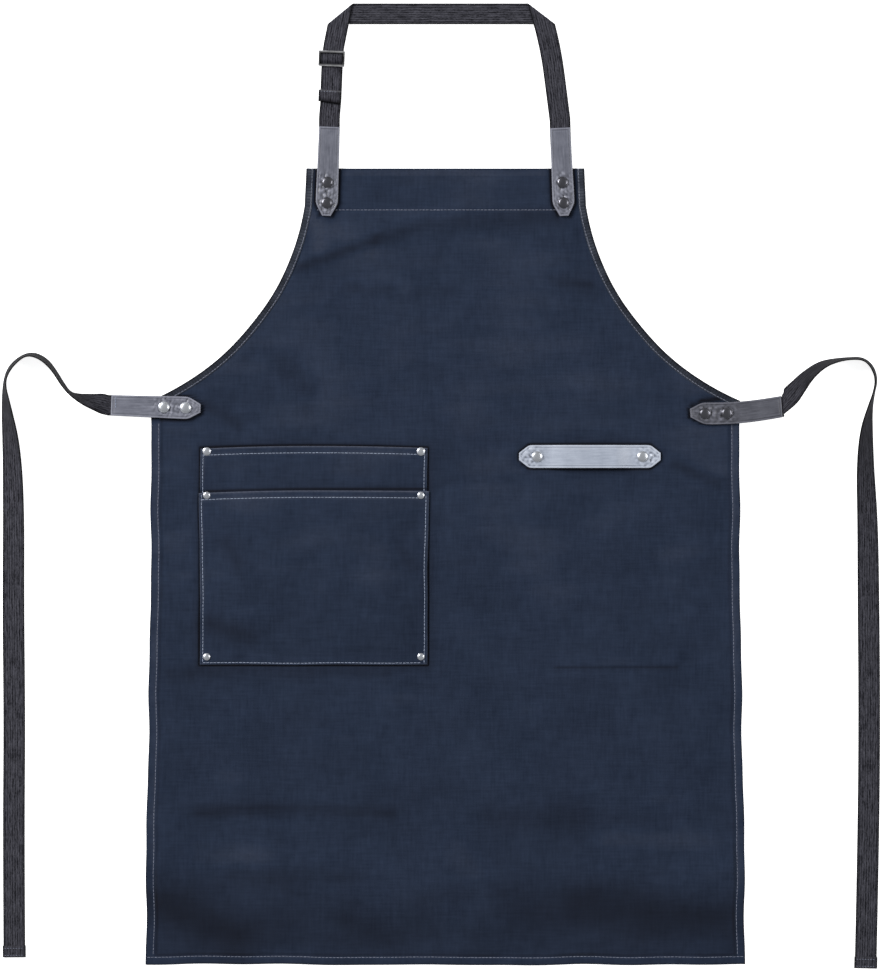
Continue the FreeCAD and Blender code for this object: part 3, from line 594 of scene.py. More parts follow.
def pocket_gap(x, y):
    """Distance in plan from the pockets' outline."""
    left, right, foot, top = POCKET_LEFT, POCKET_RIGHT, POCKET_FOOT, REAR_MOUTH
    centre = (left + right) / 2
    arch = [(x, top - 2.5 * ((x - centre) / (right - centre)) ** 2) for x in np.linspace(left, right, 9)]
    return line_distance(x, y, [*arch, (right, foot), (left, foot), arch[0]])


def strap_gap(x, y, tip, turn, long, half, flat, cut, tips):
    """Distance in plan from the outline of a strap with one or two pointed ends."""
    ahead, across = (v[:2] for v in heading(turn))
    far = [(long, half), (long, -half)]
    if tips == 2:
        far = [(long - cut, half), (long, flat), (long, -flat), (long - cut, -half)]
    outline = [(cut, half), *far, (cut, -half), (0, -flat), (0, flat), (cut, half)]
    return line_distance(x, y, [tuple(np.array(tip) + ahead * run + across * side) for run, side in outline])


LOOP_MIDDLE, LOOP_LONG = (158.8, 29.9), 155.7
LOOP_TIP = (LOOP_MIDDLE[0] + LOOP_LONG / 2, LOOP_MIDDLE[1])
# Tip, turn, length, half width, half the tip's flat, the length of its slants, and how many ends are pointed
LEATHER_OUTLINES = [
    ((-130.6, 294), -1.93, 98.3, 12.4, 4.75, 14, 1),
    ((130.5, 294), 2.6, 97.1, 12.3, 4.75, 14, 1),
    ((-268.6, 82.8), 88.0, 101, 12.5, 4.75, 14, 1),
    ((268.8, 78.2), -85.6, 101, 12.3, 4.75, 14, 1),
    (LOOP_TIP, 90, LOOP_LONG, 13.1, 4.0, 11, 2),
]


def leather_gap(x, y):
    """Distance in plan from the nearest outline of the leather pieces."""
    return np.minimum.reduce([strap_gap(x, y, *outline) for outline in LEATHER_OUTLINES])


# Boxes in plan of what holds the panel flat: left, foot, right and top
POCKET_BOX = (POCKET_LEFT, POCKET_FOOT, POCKET_RIGHT, REAR_MOUTH)
LOOP_BOX = (81, 17, 237, 43)
NECK_TAB_BOX = (117, 294, 145, BIB_TOP)
WAIST_TAB_BOX = (267, 64, WAIST_HALF, 96)


def held_flat(x, y):
    """1 where the panel is held at its full height by what is on it or sewn to it, 0 where it is free."""
    near = [box_distance(x, y, *POCKET_BOX), box_distance(x, y, *LOOP_BOX)]
    near += [box_distance(side * x, y, *box) for side in (-1, 1) for box in (NECK_TAB_BOX, WAIST_TAB_BOX)]
    return 1 - smoothstep(np.minimum.reduce(near), 2.0, 16.0)


def panel_height(x, y):
    """Height of the panel's upper side."""
    side, top, foot = edge_distance(x, y)
    edge = np.minimum(side, foot)
    inner = smoothstep(edge, SEAM, SEAM + 5) * smoothstep(BAND_SEAM - y, 0, 6)
    free = inner * (1 - held_flat(x, y))
    uneven = 0.5 * waves(x, y, 11, 26, 70, 170) + 0.2 * waves(x, y, 12, 30, 26, 60)
    for line, width, high in FOLDS:
        uneven = uneven + high * bell(line_distance(x, y, line), width)
    height = PANEL_TOP + free * (uneven - 0.35) + 0.12 * waves(x, y, 13, 24, 25, 60) * (1 - held_flat(x, y))
    seam = np.where(y > WAIST_TOP - 4, 1e3, side - SEAM)
    height = height - 0.3 * bell(seam, 0.9) - 0.3 * bell(foot - SEAM, 0.9)
    height = height - 0.3 * bell(y - BAND_SEAM, 0.9) * (np.abs(x) < 140)
    height = height - 0.7 * bell(pocket_gap(x, y) - 1.0, 1.3) - 0.35 * bell(leather_gap(x, y) - 0.8, 1.2)
    rim = np.minimum(edge, np.maximum(top, 0) * 1.5)
    return np.maximum(height, LEAST_HEIGHT) - rounding(rim, FOLD_RADIUS)


INSETS = np.array([0, 0.15, 0.5, 1.2, 2.4, 4.2, 6.2, 7.3, 8.0, 8.5, 9.0, 10, 11.6, 14, 18])
BEYOND = np.array([0.6, 1.4, 2.8])
INNER_HALF = WAIST_HALF - INSETS[-1]
rows = merged(
    np.arange(FOOT, BIB_TOP, 6.4),
    np.arange(58, 112, 3.0),
    FOOT + INSETS,
    BIB_TOP - INSETS,
    BAND_SEAM + np.concatenate([-BEYOND, [0], BEYOND]),
    POCKET_FOOT + np.arange(-5, 2, 0.7),
    REAR_MOUTH + np.arange(-4.4, 5, 0.9),
    *[LOOP_MIDDLE[1] + side * np.arange(12.2, 18, 1.0) for side in (-1, 1)],
    [SKIRT_TURN, ARM_TOP, WAIST_TOP],
    [BIB_TOP],
    closest=0.3,
)
rows[-1] = BIB_TOP
columns = merged(
    np.arange(-INNER_HALF, INNER_HALF, 6.4),
    POCKET_LEFT + np.arange(-5, 2, 0.7),
    POCKET_RIGHT + np.arange(-2, 5, 0.7),
    *[side * np.arange(252, 276, 2.0) for side in (-1, 1)],
    np.arange(78, 92, 2.4),
    np.arange(225, 241, 2.4),
    [INNER_HALF],
    closest=0.4,
)


def panel_grid(stops):
    """Plan positions over the whole panel: columns follow the edges near them and spread out between."""
    right = np.stack([edge_x(stops, inset) for inset in INSETS], 1)
    inner = right[:, -1:] * columns[None, 1:-1] / INNER_HALF
    x = np.concatenate([-right, inner, right[:, ::-1]], 1)
    return x, np.repeat(stops[:, None], x.shape[1], 1)


def edge_wobble(x, y):
    """Sideways drift of the cloth's outline, under a millimetre."""
    return 0.55 * waves(0 * x, y, 21, 8, 60, 190) * np.sign(x) * smoothstep(np.abs(x), 60, 300)


def lay(x, y, z):
    """Points of the panel, with the drift of its outline."""
    drift = 0.5 * waves(x, 0 * y, 22, 8, 70, 190) * smoothstep(FOOT + 120 - y, 0, 120)
    return np.stack([x + edge_wobble(x, y), y + drift, z], -1)


def taper(rim):
    """Thickness of the canvas at a distance from its edge, where it thins out into the fold."""
    return CANVAS_THICK * np.clip(np.sqrt(np.maximum(rim, 0) / FOLD_RADIUS), 0.06, 1)


px, py = panel_grid(rows)
high = panel_height(px, py)
side, top, foot = edge_distance(px, py)
hem_edge = np.minimum(side, foot)
rim = np.minimum(hem_edge, top)
below_arms = py < WAIST_TOP
# The panel's colour marks: dye and painted fold light and shade, painted shade along the outer edge, a paler hem
# band, a painted highlight on each hem's stitch line with painted shadow just inside it, and painted shade round
# the pockets and the leather pieces.
painted_light_and_wear = dye_and_painted_shade(px, py) - 0.85 * bell(rim, 1.1) + 0.13 * (rim < SEAM)
painted_light_and_wear += (0.26 * bell(hem_edge - SEAM, 1.6) - 0.4 * bell(hem_edge - SEAM - 2.4, 1.2)) * below_arms
around_pocket, around_leather = pocket_gap(px, py), leather_gap(px, py)
painted_light_and_wear -= 0.95 * bell(np.maximum(around_pocket - 0.9, 0), 1.1) + 0.3 * bell(around_pocket, 6)
painted_light_and_wear -= 0.9 * bell(np.maximum(around_leather - 0.9, 0), 1.1) + 0.25 * bell(around_leather, 5)
upper, lower = lay(px, py, high), lay(px, py, high - taper(rim))
panel = canvas_piece("body_panel_cloth", upper, lower, "body_panel", np.clip(painted_light_and_wear, -1, 1))

# Hems folded to the back: each has a rounded fold that continues the panel's edge


def hem(name, x, y, rim, node):
    """A hem just under the panel, from the distance of its points to the fold."""
    lower = np.maximum(rounding(rim, FOLD_RADIUS) - 0.05, 0.0) * (rim < FOLD_RADIUS)
    upper = np.maximum(panel_height(x, y) - taper(rim) - 0.02, lower + 0.04)
    return canvas_piece(name, lay(x, y, upper), lay(x, y, lower), node)


HEM_INSETS = np.array([0, 0.12, 0.35, 0.7, 1.2, 2.2, 4, 6, 8.2, 8.5, 8.8, 9.8, 10])
HEM_TOP = 83.0
hem_rows = merged(np.arange(FOOT, HEM_TOP, 5.2), FOOT + HEM_INSETS, [HEM_TOP])
for name, sign in (("left", -1), ("right", 1)):
    hx = sign * np.stack([edge_x(hem_rows, inset) for inset in HEM_INSETS], 1)
    hy = np.repeat(hem_rows[:, None], hx.shape[1], 1)
    side, _, foot = edge_distance(hx, hy)
    hem(name + "_side_hem_cloth", hx, hy, np.minimum(side, foot), name + "_side_hem")
hx, hy = np.meshgrid(np.linspace(-FOOT_HALF + 10.2, FOOT_HALF - 10.2, 130), FOOT + HEM_INSETS)
hem("bottom_hem_cloth", hx, hy, hy - FOOT, "bottom_hem")

FACING_EDGE = 0.8
facing_rows = BIB_TOP - merged(HEM_INSETS, np.arange(0, 45.7, 4), [44.2, 45.0, 45.4, 45.7])
hx, hy = np.meshgrid(np.linspace(-144, 144, 90), facing_rows)
rim = BIB_TOP - hy
lower = np.maximum(FACING_EDGE, FOLD_RADIUS - FACING_EDGE + rounding(rim, FACING_EDGE))
upper = np.maximum(panel_height(hx, hy) - taper(rim) - 0.02, lower + 0.04)
canvas_piece("bib_facing_cloth", lay(hx, hy, upper), lay(hx, hy, lower), "bib_facing")

# Binding tape round each armhole's edge, in place of the plain hem


def armhole_stations(step=0.8):
    """Points along the right edge from the bib's top to the waist, and the directions out of the cloth."""
    slope = np.array([BIB_TOP - ARM_TOP, ARM_HALF - BIB_HALF])
    bib_y = np.arange(BIB_TOP, ARM_TOP + 1, -step)
    bib = np.stack([edge_x(bib_y, 0), bib_y], 1)
    ends = ((ARM_HALF, ARM_TOP), (WAIST_HALF, WAIST_TOP))
    start, end = [math.atan2(y - ARM_CENTRE[1], x - ARM_CENTRE[0]) % (2 * math.pi) for x, y in ends]
    angles = np.linspace(start, end, int(abs(end - start) * ARM_RADIUS / step))
    way = np.stack([np.cos(angles), np.sin(angles)], 1)
    outward = np.concatenate([np.tile(slope / np.linalg.norm(slope), (len(bib), 1)), -way])
    return np.concatenate([bib, np.array(ARM_CENTRE) + way * ARM_RADIUS]), outward


# The tape's section, from its edge on the back round to its edge on the front: how far in, and how high
TAPE_PATH = [(7.8, 0.4), (5, 0.34), (2.2, 0.34), (0.9, 0.5), (0.1, 1.0), (-0.12, 1.6)]
TAPE_PATH += [(0.1, 2.15), (0.9, 2.62), (2.2, 2.74), (4.6, 2.74), (6.2, 2.6), (7.6, 2.72)]
TAPE_THICK = 0.5
TAPE_TOP = 2.98
TAPE_STEP = 0.8
edge_points, edge_out = armhole_stations(TAPE_STEP)
path = np.array(TAPE_PATH)
tangent = np.gradient(path, axis=0)
tangent /= np.linalg.norm(tangent, axis=1)[:, None]
lift = np.stack([tangent[:, 1], -tangent[:, 0]], 1) * TAPE_THICK / 2
inward, rise = np.concatenate([path + lift, (path - lift)[::-1]]).T
number = np.arange(len(edge_points))[:, None]
ribs = np.sin(number * math.pi / 2 + 0.6)
# The tape's marks: paler and darker alternate ribs, a painted highlight along the tape's edges, painted shade
# along its fold at the cloth's edge, darker from 50 mm down the edge and fully from 170 mm, and faint random
# tone.
painted_light_and_wear = 0.2 * ribs + 0.4 * bell(inward - 7.6, 1.0) - 0.95 * bell(inward, 1.1)
painted_light_and_wear = painted_light_and_wear - 0.35 * smoothstep(number * TAPE_STEP, 50, 170) + 0.08 * waves(number, 0 * number, 53, 14, 9, 60)
for name, sign in (("left", -1), ("right", 1)):
    sections = np.zeros((len(edge_points), len(rise), 3))
    sections[:, :, :2] = edge_points[:, None] - edge_out[:, None] * inward[None, :, None]
    sections[:, :, 2] = rise + 0.09 * ribs * (rise > 2.3)
    sections[:, :, 0] *= sign
    sections[:, :, 0] += edge_wobble(sections[:, :, 0], sections[:, :, 1])
    tape = sweep(name + "_armhole_binding", sections, BINDING, painted_light_and_wear=np.clip(painted_light_and_wear, -1, 1), sharp=60)
    stand_in(tape, name + "_armhole_hem")

# Stitches


def resampled(line, step):
    """Points at even spacing along a line of 3D points."""
    line = np.asarray(line, float)
    run = length_along(line)
    stops = np.arange(0, run[-1], step)
    return np.stack([np.interp(stops, run, line[:, i]) for i in range(3)], 1)


STITCH_SIDES = 6
STITCH_STEP = 0.5
# Share of the stitch's length, of its thickness, and its rise in thicknesses
STITCH_RINGS = [(0, 0.3, -0.34), (0.08, 0.8, -0.05), (0.3, 1.0, 0.14)]
STITCH_RINGS += [(0.7, 1.0, 0.14), (0.92, 0.8, -0.05), (1, 0.3, -0.34)]


def stitches(name, lines, mat=DIM_THREAD, body="apron", long=3.6, gap=0.4, thick=0.6, seed=1):
    """Sewing thread along lines of points: each stitch is a short thread that dips in at both ends."""
    draws = np.random.default_rng(seed)
    points, faces = [], []
    around = np.arange(STITCH_SIDES) * 2 * math.pi / STITCH_SIDES
    for line in lines:
        marks = resampled(line, STITCH_STEP)
        for i in range(int((len(marks) * STITCH_STEP) // (long + gap))):
            first = int(i * (long + gap) / STITCH_STEP)
            last = min(first + int(long / STITCH_STEP), len(marks) - 1)
            if last <= first:
                continue
            start, end = marks[first], marks[last]
            ahead = (end - start) / np.linalg.norm(end - start)
            across = np.cross((0, 0, 1), ahead)
            across /= np.linalg.norm(across)
            up = np.cross(ahead, across)
            start = start + across * draws.normal(0, 0.07)
            end = end + across * draws.normal(0, 0.07)
            size = thick / 2 * draws.uniform(0.9, 1.1)
            faces += bar_faces(len(STITCH_RINGS), STITCH_SIDES, len(points))
            for share, wide, rise in STITCH_RINGS:
                centre = start + (end - start) * share + up * rise * thick
                points += [centre + (across * math.cos(a) + up * math.sin(a)) * size * wide for a in around]
    return add_mesh(name, points, faces, mat, body, sharp=80)


def on_panel(xs, ys, above=0.1):
    """Line of points that lies on the panel."""
    xs, ys = np.broadcast_arrays(np.asarray(xs, float), np.asarray(ys, float))
    return lay(xs, ys, panel_height(xs, ys) + above)


def span(start, end, step=1.5):
    """Even stops from start to end, about a step apart."""
    return np.linspace(start, end, max(2, int(abs(end - start) / step)))


side_y = span(66, FOOT + SEAM)
for name, xs, ys, seed in (
    ("left_side", -edge_x(side_y, SEAM), side_y, 2),
    ("right_side", edge_x(side_y, SEAM), side_y, 3),
    ("bottom", span(-FOOT_HALF + 2, FOOT_HALF - 2), FOOT + SEAM, 4),
    ("bib_band", span(-141, 141), BAND_SEAM, 5),
):
    stitches(name + "_stitches", [on_panel(xs, ys)], seed=seed)
arm_line = edge_points - edge_out * ARM_SEAM
for name, sign in (("left", -1), ("right", 1)):
    line = np.stack([sign * arm_line[:, 0], arm_line[:, 1], np.full(len(arm_line), TAPE_TOP)], 1)
    line[:, 0] += edge_wobble(line[:, 0], line[:, 1])
    stitches(name + "_armhole_stitches", [line], seed=6 + sign)

# Pockets

SIDE_STEPS = np.array([0, 0.15, 0.4, 0.8, 1.4, 2.2, 2.6, 3.0, 3.4, 3.9, 5])
FOOT_STEPS = np.array([0, 0.15, 0.4, 0.8, 1.3, 1.7, 2.0, 2.3, 2.8, 4])
MOUTH_STEPS = np.array([0, 0.15, 0.4, 0.8, 1.4, 3, 6.6, 7.1, 7.5, 7.9, 8.4, 9.6])
LEFT_SEAM, RIGHT_SEAM, LOW_SEAM, MOUTH_SEAM = 3.0, 3.4, 2.0, 7.5
POCKET_MIDDLE, POCKET_HALF = (POCKET_LEFT + POCKET_RIGHT) / 2, (POCKET_RIGHT - POCKET_LEFT) / 2


def pocket_shape(mouth, base, crown, drift, flare, seed):
    """Upper side of a pocket panel: sewn at the sides and foot, with a crowned middle and an open mouth.

    Returns its points, its wear and painted light and shade, and the stops of its flat grid.
    """
    edges = POCKET_LEFT + SIDE_STEPS, POCKET_RIGHT - SIDE_STEPS
    stops_x = merged(np.arange(POCKET_LEFT, POCKET_RIGHT, 3.6), *edges)
    stops_x[-1] = POCKET_RIGHT
    ledge = [y for y in FRONT_MOUTH + np.arange(-3, 6, 0.9) if y < mouth - 10]
    stops_y = merged(np.arange(POCKET_FOOT, mouth, 3.6), POCKET_FOOT + FOOT_STEPS, mouth - MOUTH_STEPS, ledge)
    stops_y[-1] = mouth
    x, y = np.meshgrid(stops_x, stops_y)
    left, right, foot, top = x - POCKET_LEFT, POCKET_RIGHT - x, y - POCKET_FOOT, mouth - y
    sides = np.minimum(left, right)
    rim = np.minimum(np.minimum(sides, foot), np.maximum(top, 0))
    swell = smoothstep(sides, 4, 52) * smoothstep(foot, 3, 60) ** 0.8
    small = 0.14 * waves(x, y, seed + 1, 26, 16, 40) * smoothstep(sides, 4, 12) * smoothstep(foot, 3, 12)
    height = base + crown * swell + 0.35 * swell * waves(x, y, seed, 22, 40, 110) + small
    for gap in (left - LEFT_SEAM, right - RIGHT_SEAM, foot - LOW_SEAM):
        height = height - 0.28 * bell(gap, 0.8)
    height = height - 0.25 * bell(top - MOUTH_SEAM, 0.9) * smoothstep(sides, 6, 14) - rounding(rim, 0.7)
    off = x - POCKET_MIDDLE
    near_left, near_right = [np.clip(sign * off / POCKET_HALF, 0, 1) ** 2 for sign in (-1, 1)]
    y = y - (drift[0] * near_left + drift[1] * near_right) * smoothstep(y, mouth - 60, mouth)
    x = x + 0.25 * waves(0 * x, y, seed + 2, 6, 50, 140) * smoothstep(np.abs(off), 60, POCKET_HALF)
    off = x - POCKET_MIDDLE
    at_side = smoothstep(np.abs(off), POCKET_HALF - 30, POCKET_HALF)
    x = x + flare * np.sign(off) * at_side * smoothstep(-top, -100, 0)
    y = y + 0.25 * waves(x, 0 * y, seed + 3, 6, 50, 140) * smoothstep(-foot, -40, 0)
    # Painted highlights along the pocket's edges, mouth and stitch lines.
    painted_light_and_wear = dye_and_painted_shade(x, y) + 0.4 * bell(rim, 1.1) + 0.5 * bell(top, 1.3)
    painted_light_and_wear += 0.22 * bell(top - MOUTH_SEAM, 1.5) + 0.25 * bell(sides - 3.2, 1.4)
    # Painted shadow on the rear pocket just above the front pocket's mouth.
    if mouth > FRONT_MOUTH:
        over = y - FRONT_MOUTH + 3.0 * np.clip((POCKET_MIDDLE - x) / POCKET_HALF, 0, 1) ** 2
        painted_light_and_wear -= 0.8 * bell(over - 1.6, 1.5) + 0.2 * bell(over - 2, 6)
    return np.stack([x, y, height], -1), np.clip(painted_light_and_wear, -1, 1), (stops_x, stops_y)


def on_grid(grid, stops, x, y, above=0.12):
    """Point of a pocket's surface at a place in its own flat grid."""
    column, row = [np.clip(np.searchsorted(s, v), 1, len(s) - 1) for s, v in zip(stops, (x, y))]
    u, v = [(v - s[i - 1]) / (s[i] - s[i - 1]) for s, v, i in zip(stops, (x, y), (column, row))]
    low, top = [grid[r, column - 1] * (1 - u) + grid[r, column] * u for r in (row - 1, row)]
    return low * (1 - v) + top * v + np.array([0, 0, above])


for name, mouth, base, crown, drift, flare, seed in (
    ("rear", REAR_MOUTH, 3.2, 2.6, (3.0, 2.2), 0.0, 31),
    ("front", FRONT_MOUTH, 4.0, 4.8, (3.0, 0.8), 1.8, 41),
):
    grid, painted_light_and_wear, stops = pocket_shape(mouth, base, crown, drift, flare, seed)
    under = grid.copy()
    under[:, :, 2] = np.maximum(grid[:, :, 2], base + 0.02) - CANVAS_THICK
    under[:, :, 2] = np.minimum(under[:, :, 2], grid[:, :, 2] - 0.06)
    canvas_piece(name + "_pocket_cloth", grid, under, name + "_pocket_panel", painted_light_and_wear)
    # Its mouth hem lies under the cloth
    xs = merged(np.arange(POCKET_LEFT + 14, POCKET_RIGHT - 14, 4))
    ys = mouth - np.array([0.3, 0.8, 2, 4, 6.6, 7.5, 8.4, 9.5])
    hem_top = np.array([[on_grid(grid, stops, x, y, -CANVAS_THICK - 0.04) for x in xs] for y in ys])
    hem_under = hem_top - np.array([0, 0, 0.7])
    canvas_piece(name + "_pocket_mouth_fold", hem_top, hem_under, name + "_pocket_mouth_hem")
    left_x, right_x, low_y = POCKET_LEFT + LEFT_SEAM, POCKET_RIGHT - RIGHT_SEAM, POCKET_FOOT + LOW_SEAM
    down = [(left_x, y) for y in span(mouth - 2, low_y)]
    over, brim = [[(x, y) for x in span(left_x, right_x)] for y in (low_y, mouth - MOUTH_SEAM)]
    up = [(right_x, y) for y in span(low_y, mouth - 2)]
    lines = [[on_grid(grid, stops, *place) for place in line] for line in (down, over, up, brim)]
    stitches(name + "_pocket_stitches", lines, THREAD, seed=seed + 5, thick=0.62)

# Webbing


WEB_EDGE = 0.45
RIB_HIGH, RIB_SINK = 0.04, 0.07


def web_ring(wide, thick):
    """Section of webbing: across and up, with low ribs on both faces and rounded edges; and its weave's U."""
    face = np.linspace(-wide / 2 + WEB_EDGE, wide / 2 - WEB_EDGE, 57)
    relief = RIB_HIGH * np.cos(2 * math.pi * WEB_RIBS * face / wide)
    upper = np.stack([face, thick / 2 - RIB_SINK + relief], 1)
    lower = np.stack([face[::-1], -(thick / 2 - RIB_SINK) + relief[::-1]], 1)
    cap = [(wide / 2 - 0.12, thick * 0.33), (wide / 2, 0), (wide / 2 - 0.12, -thick * 0.33)]
    ring = np.concatenate([upper, cap, lower, [(-x, -y) for x, y in cap]])
    return ring, ring[:, 0] / wide + 0.5


def woven(u, run, shape):
    """Weave coordinates of rings of webbing."""
    return np.stack([np.broadcast_to(u, shape[:2]), np.broadcast_to(run[:, None], shape[:2])], -1)


def web_sections(centres, across, up, wide, thick):
    """Rings of webbing at stations, and their weave coordinates."""
    ring, u = web_ring(wide, thick)
    sections = centres[:, None] + across[:, None] * ring[None, :, :1] + up[:, None] * ring[None, :, 1:]
    return sections, woven(u, length_along(centres) / wide, sections.shape)


def frames_along(points):
    """The direction of a line at each of its points."""
    ahead = np.gradient(points, axis=0)
    return ahead / np.linalg.norm(ahead, axis=1)[:, None]


# Waist ties: the ribbon follows points read from a NURBS spline through the route


def spline_points(name, rows):
    """Points along a NURBS spline whose control points are given."""
    curve = bpy.data.curves.new(name, "CURVE")
    curve.dimensions = "3D"
    spline = curve.splines.new("NURBS")
    spline.points.add(len(rows) - 1)
    for point, row in zip(spline.points, rows):
        point.co = (*[c * MM for c in row], 1)
    spline.order_u = 3
    spline.use_endpoint_u = True
    spline.resolution_u = 12
    holder = bpy.data.objects.new(name, curve)
    scene.collection.objects.link(holder)
    mesh = bpy.data.meshes.new_from_object(holder)
    points = np.array([v.co for v in mesh.vertices]) / MM
    bpy.data.objects.remove(holder)
    bpy.data.meshes.remove(mesh)
    return points


ROOT_RUN = 18  # over which a tie grows from its width at the tab to its own
SEWN_FOLD = dict(long=2.4, gap=0.6, thick=0.5)
# The folded end: its width, thickness, and the heights of its middle and of the stitches on it
END_WIDE, END_THICK, END_MIDDLE, END_TOP = 25.4, 2.5, 1.32, 2.56
END_RUNS = np.array([-0.8, -0.3, 0.5, 2, 4, 6, 8, 10, 11.4, 11.9, 12.1])
END_SWELL = np.array([0.55, 0.75, 0.95, 1, 0.97, 0.98, 0.97, 1, 0.95, 0.8, 0.55])


def waist_tie(name, route, raised, root):
    """One tie: its ribbon, its folded end and the stitches on it.

    raised is 1 if the ribbon's left edge is the high one, and -1 if its right edge is. root is its width
    at the tab.
    """
    points = spline_points(name + "_line", [r[:3] for r in route])
    tilts = np.radians(spline_points(name + "_tilts", [(r[3], i, 0) for i, r in enumerate(route)])[:, 0])
    keep = np.concatenate([[True], np.linalg.norm(np.diff(points, axis=0), axis=1) > 0.05])
    points, tilts = points[keep], tilts[keep]
    ahead = frames_along(points)
    side = np.cross((0, 0, 1), ahead)
    side /= np.linalg.norm(side, axis=1)[:, None]
    side *= raised
    up = np.cross(ahead, side) * raised
    across = side * np.cos(tilts)[:, None] + up * np.sin(tilts)[:, None]
    face = up * np.cos(tilts)[:, None] - side * np.sin(tilts)[:, None]
    square = np.array([0, math.copysign(root / TIE_WIDE, across[0, 1]), 0])
    cut = smoothstep(length_along(points), 0, ROOT_RUN)[:, None]
    across = square * (1 - cut) + across * cut
    sections, uv = web_sections(points, across, face, TIE_WIDE, TIE_THICK)
    # Painted shade where the tie is tipped up on its edge.
    painted_light_and_wear = np.broadcast_to(-0.8 * np.sin(tilts)[:, None] ** 2, sections.shape[:2])
    ribbon = web_piece(name + "_waist_tie_webbing", sections, uv, name + "_waist_tie", painted_light_and_wear=painted_light_and_wear)
    end, way = points[-1], ahead[-1]
    sideways = np.cross((0, 0, 1), way)
    ring, u = web_ring(END_WIDE, END_THICK)
    hem = np.zeros((len(END_RUNS), len(ring), 3))
    for i, (run, size) in enumerate(zip(END_RUNS, END_SWELL)):
        centre = np.array([*(end + way * run)[:2], END_MIDDLE])
        across = sideways * ring[:, :1] * (0.985 + 0.015 * size)
        hem[i] = centre + across + np.array([0, 0, 1]) * ring[:, 1:] * size
    fold = web_piece(name + "_tie_fold", hem, woven(u, END_RUNS / 25, hem.shape), name + "_tie_end_hem")

    def on_fold(run, offset):
        return np.array([*(end + way * run + sideways * offset)[:2], END_TOP])

    lines = [[on_fold(run, -10.5), on_fold(run, 10.5)] for run in (2.0, 9.6)]
    sewn = stitches(name + "_tie_fold_stitches", lines, seed=51 + raised, **SEWN_FOLD)


waist_tie("left", LEFT_ROUTE, 1, 22.8)
waist_tie("right", RIGHT_ROUTE, -1, 23.6)

# Tabs and tool loop. Each has the place of its tip, and the turn of its length away from +Y.

NECK_RIVETS, WAIST_RIVETS = (14.5, 37.0), (16.5, 40.3)
TABS = {
    "left_neck": dict(tip=(-130.6, 294), turn=-1.93, long=98.3, wide=(25.0, 22.8), shade=-0.15),
    "right_neck": dict(tip=(130.5, 294), turn=2.6, long=97.1, wide=(24.8, 22.0), shade=-0.08),
    "left_waist": dict(tip=(-268.6, 82.8), turn=88.0, long=98.6, wide=(25.4, 22.8)),
    "right_waist": dict(tip=(268.8, 78.2), turn=-85.6, long=101.0, wide=(24.6, 23.6), shade=-0.13),
}
for name, tab in TABS.items():
    tab["mat"] = DARK_LEATHER if name == "right_waist" else TAB_LEATHER
    tab["creased"] = NECK_RIVETS if "neck" in name else WAIST_RIVETS
TAB_UNDER, LEATHER_THICK = 3.82, 2.0
LEATHER_EDGE = 0.75
GROOVE_INSET = 2.6
CORNER = 0.9  # how round the corners of a tip are
LEATHER_INSETS = np.array([0, 0.1, 0.3, 0.6, 1.0, 1.5, 2.0, 2.3, 2.6, 2.9, 3.2, 3.8, 5.0])


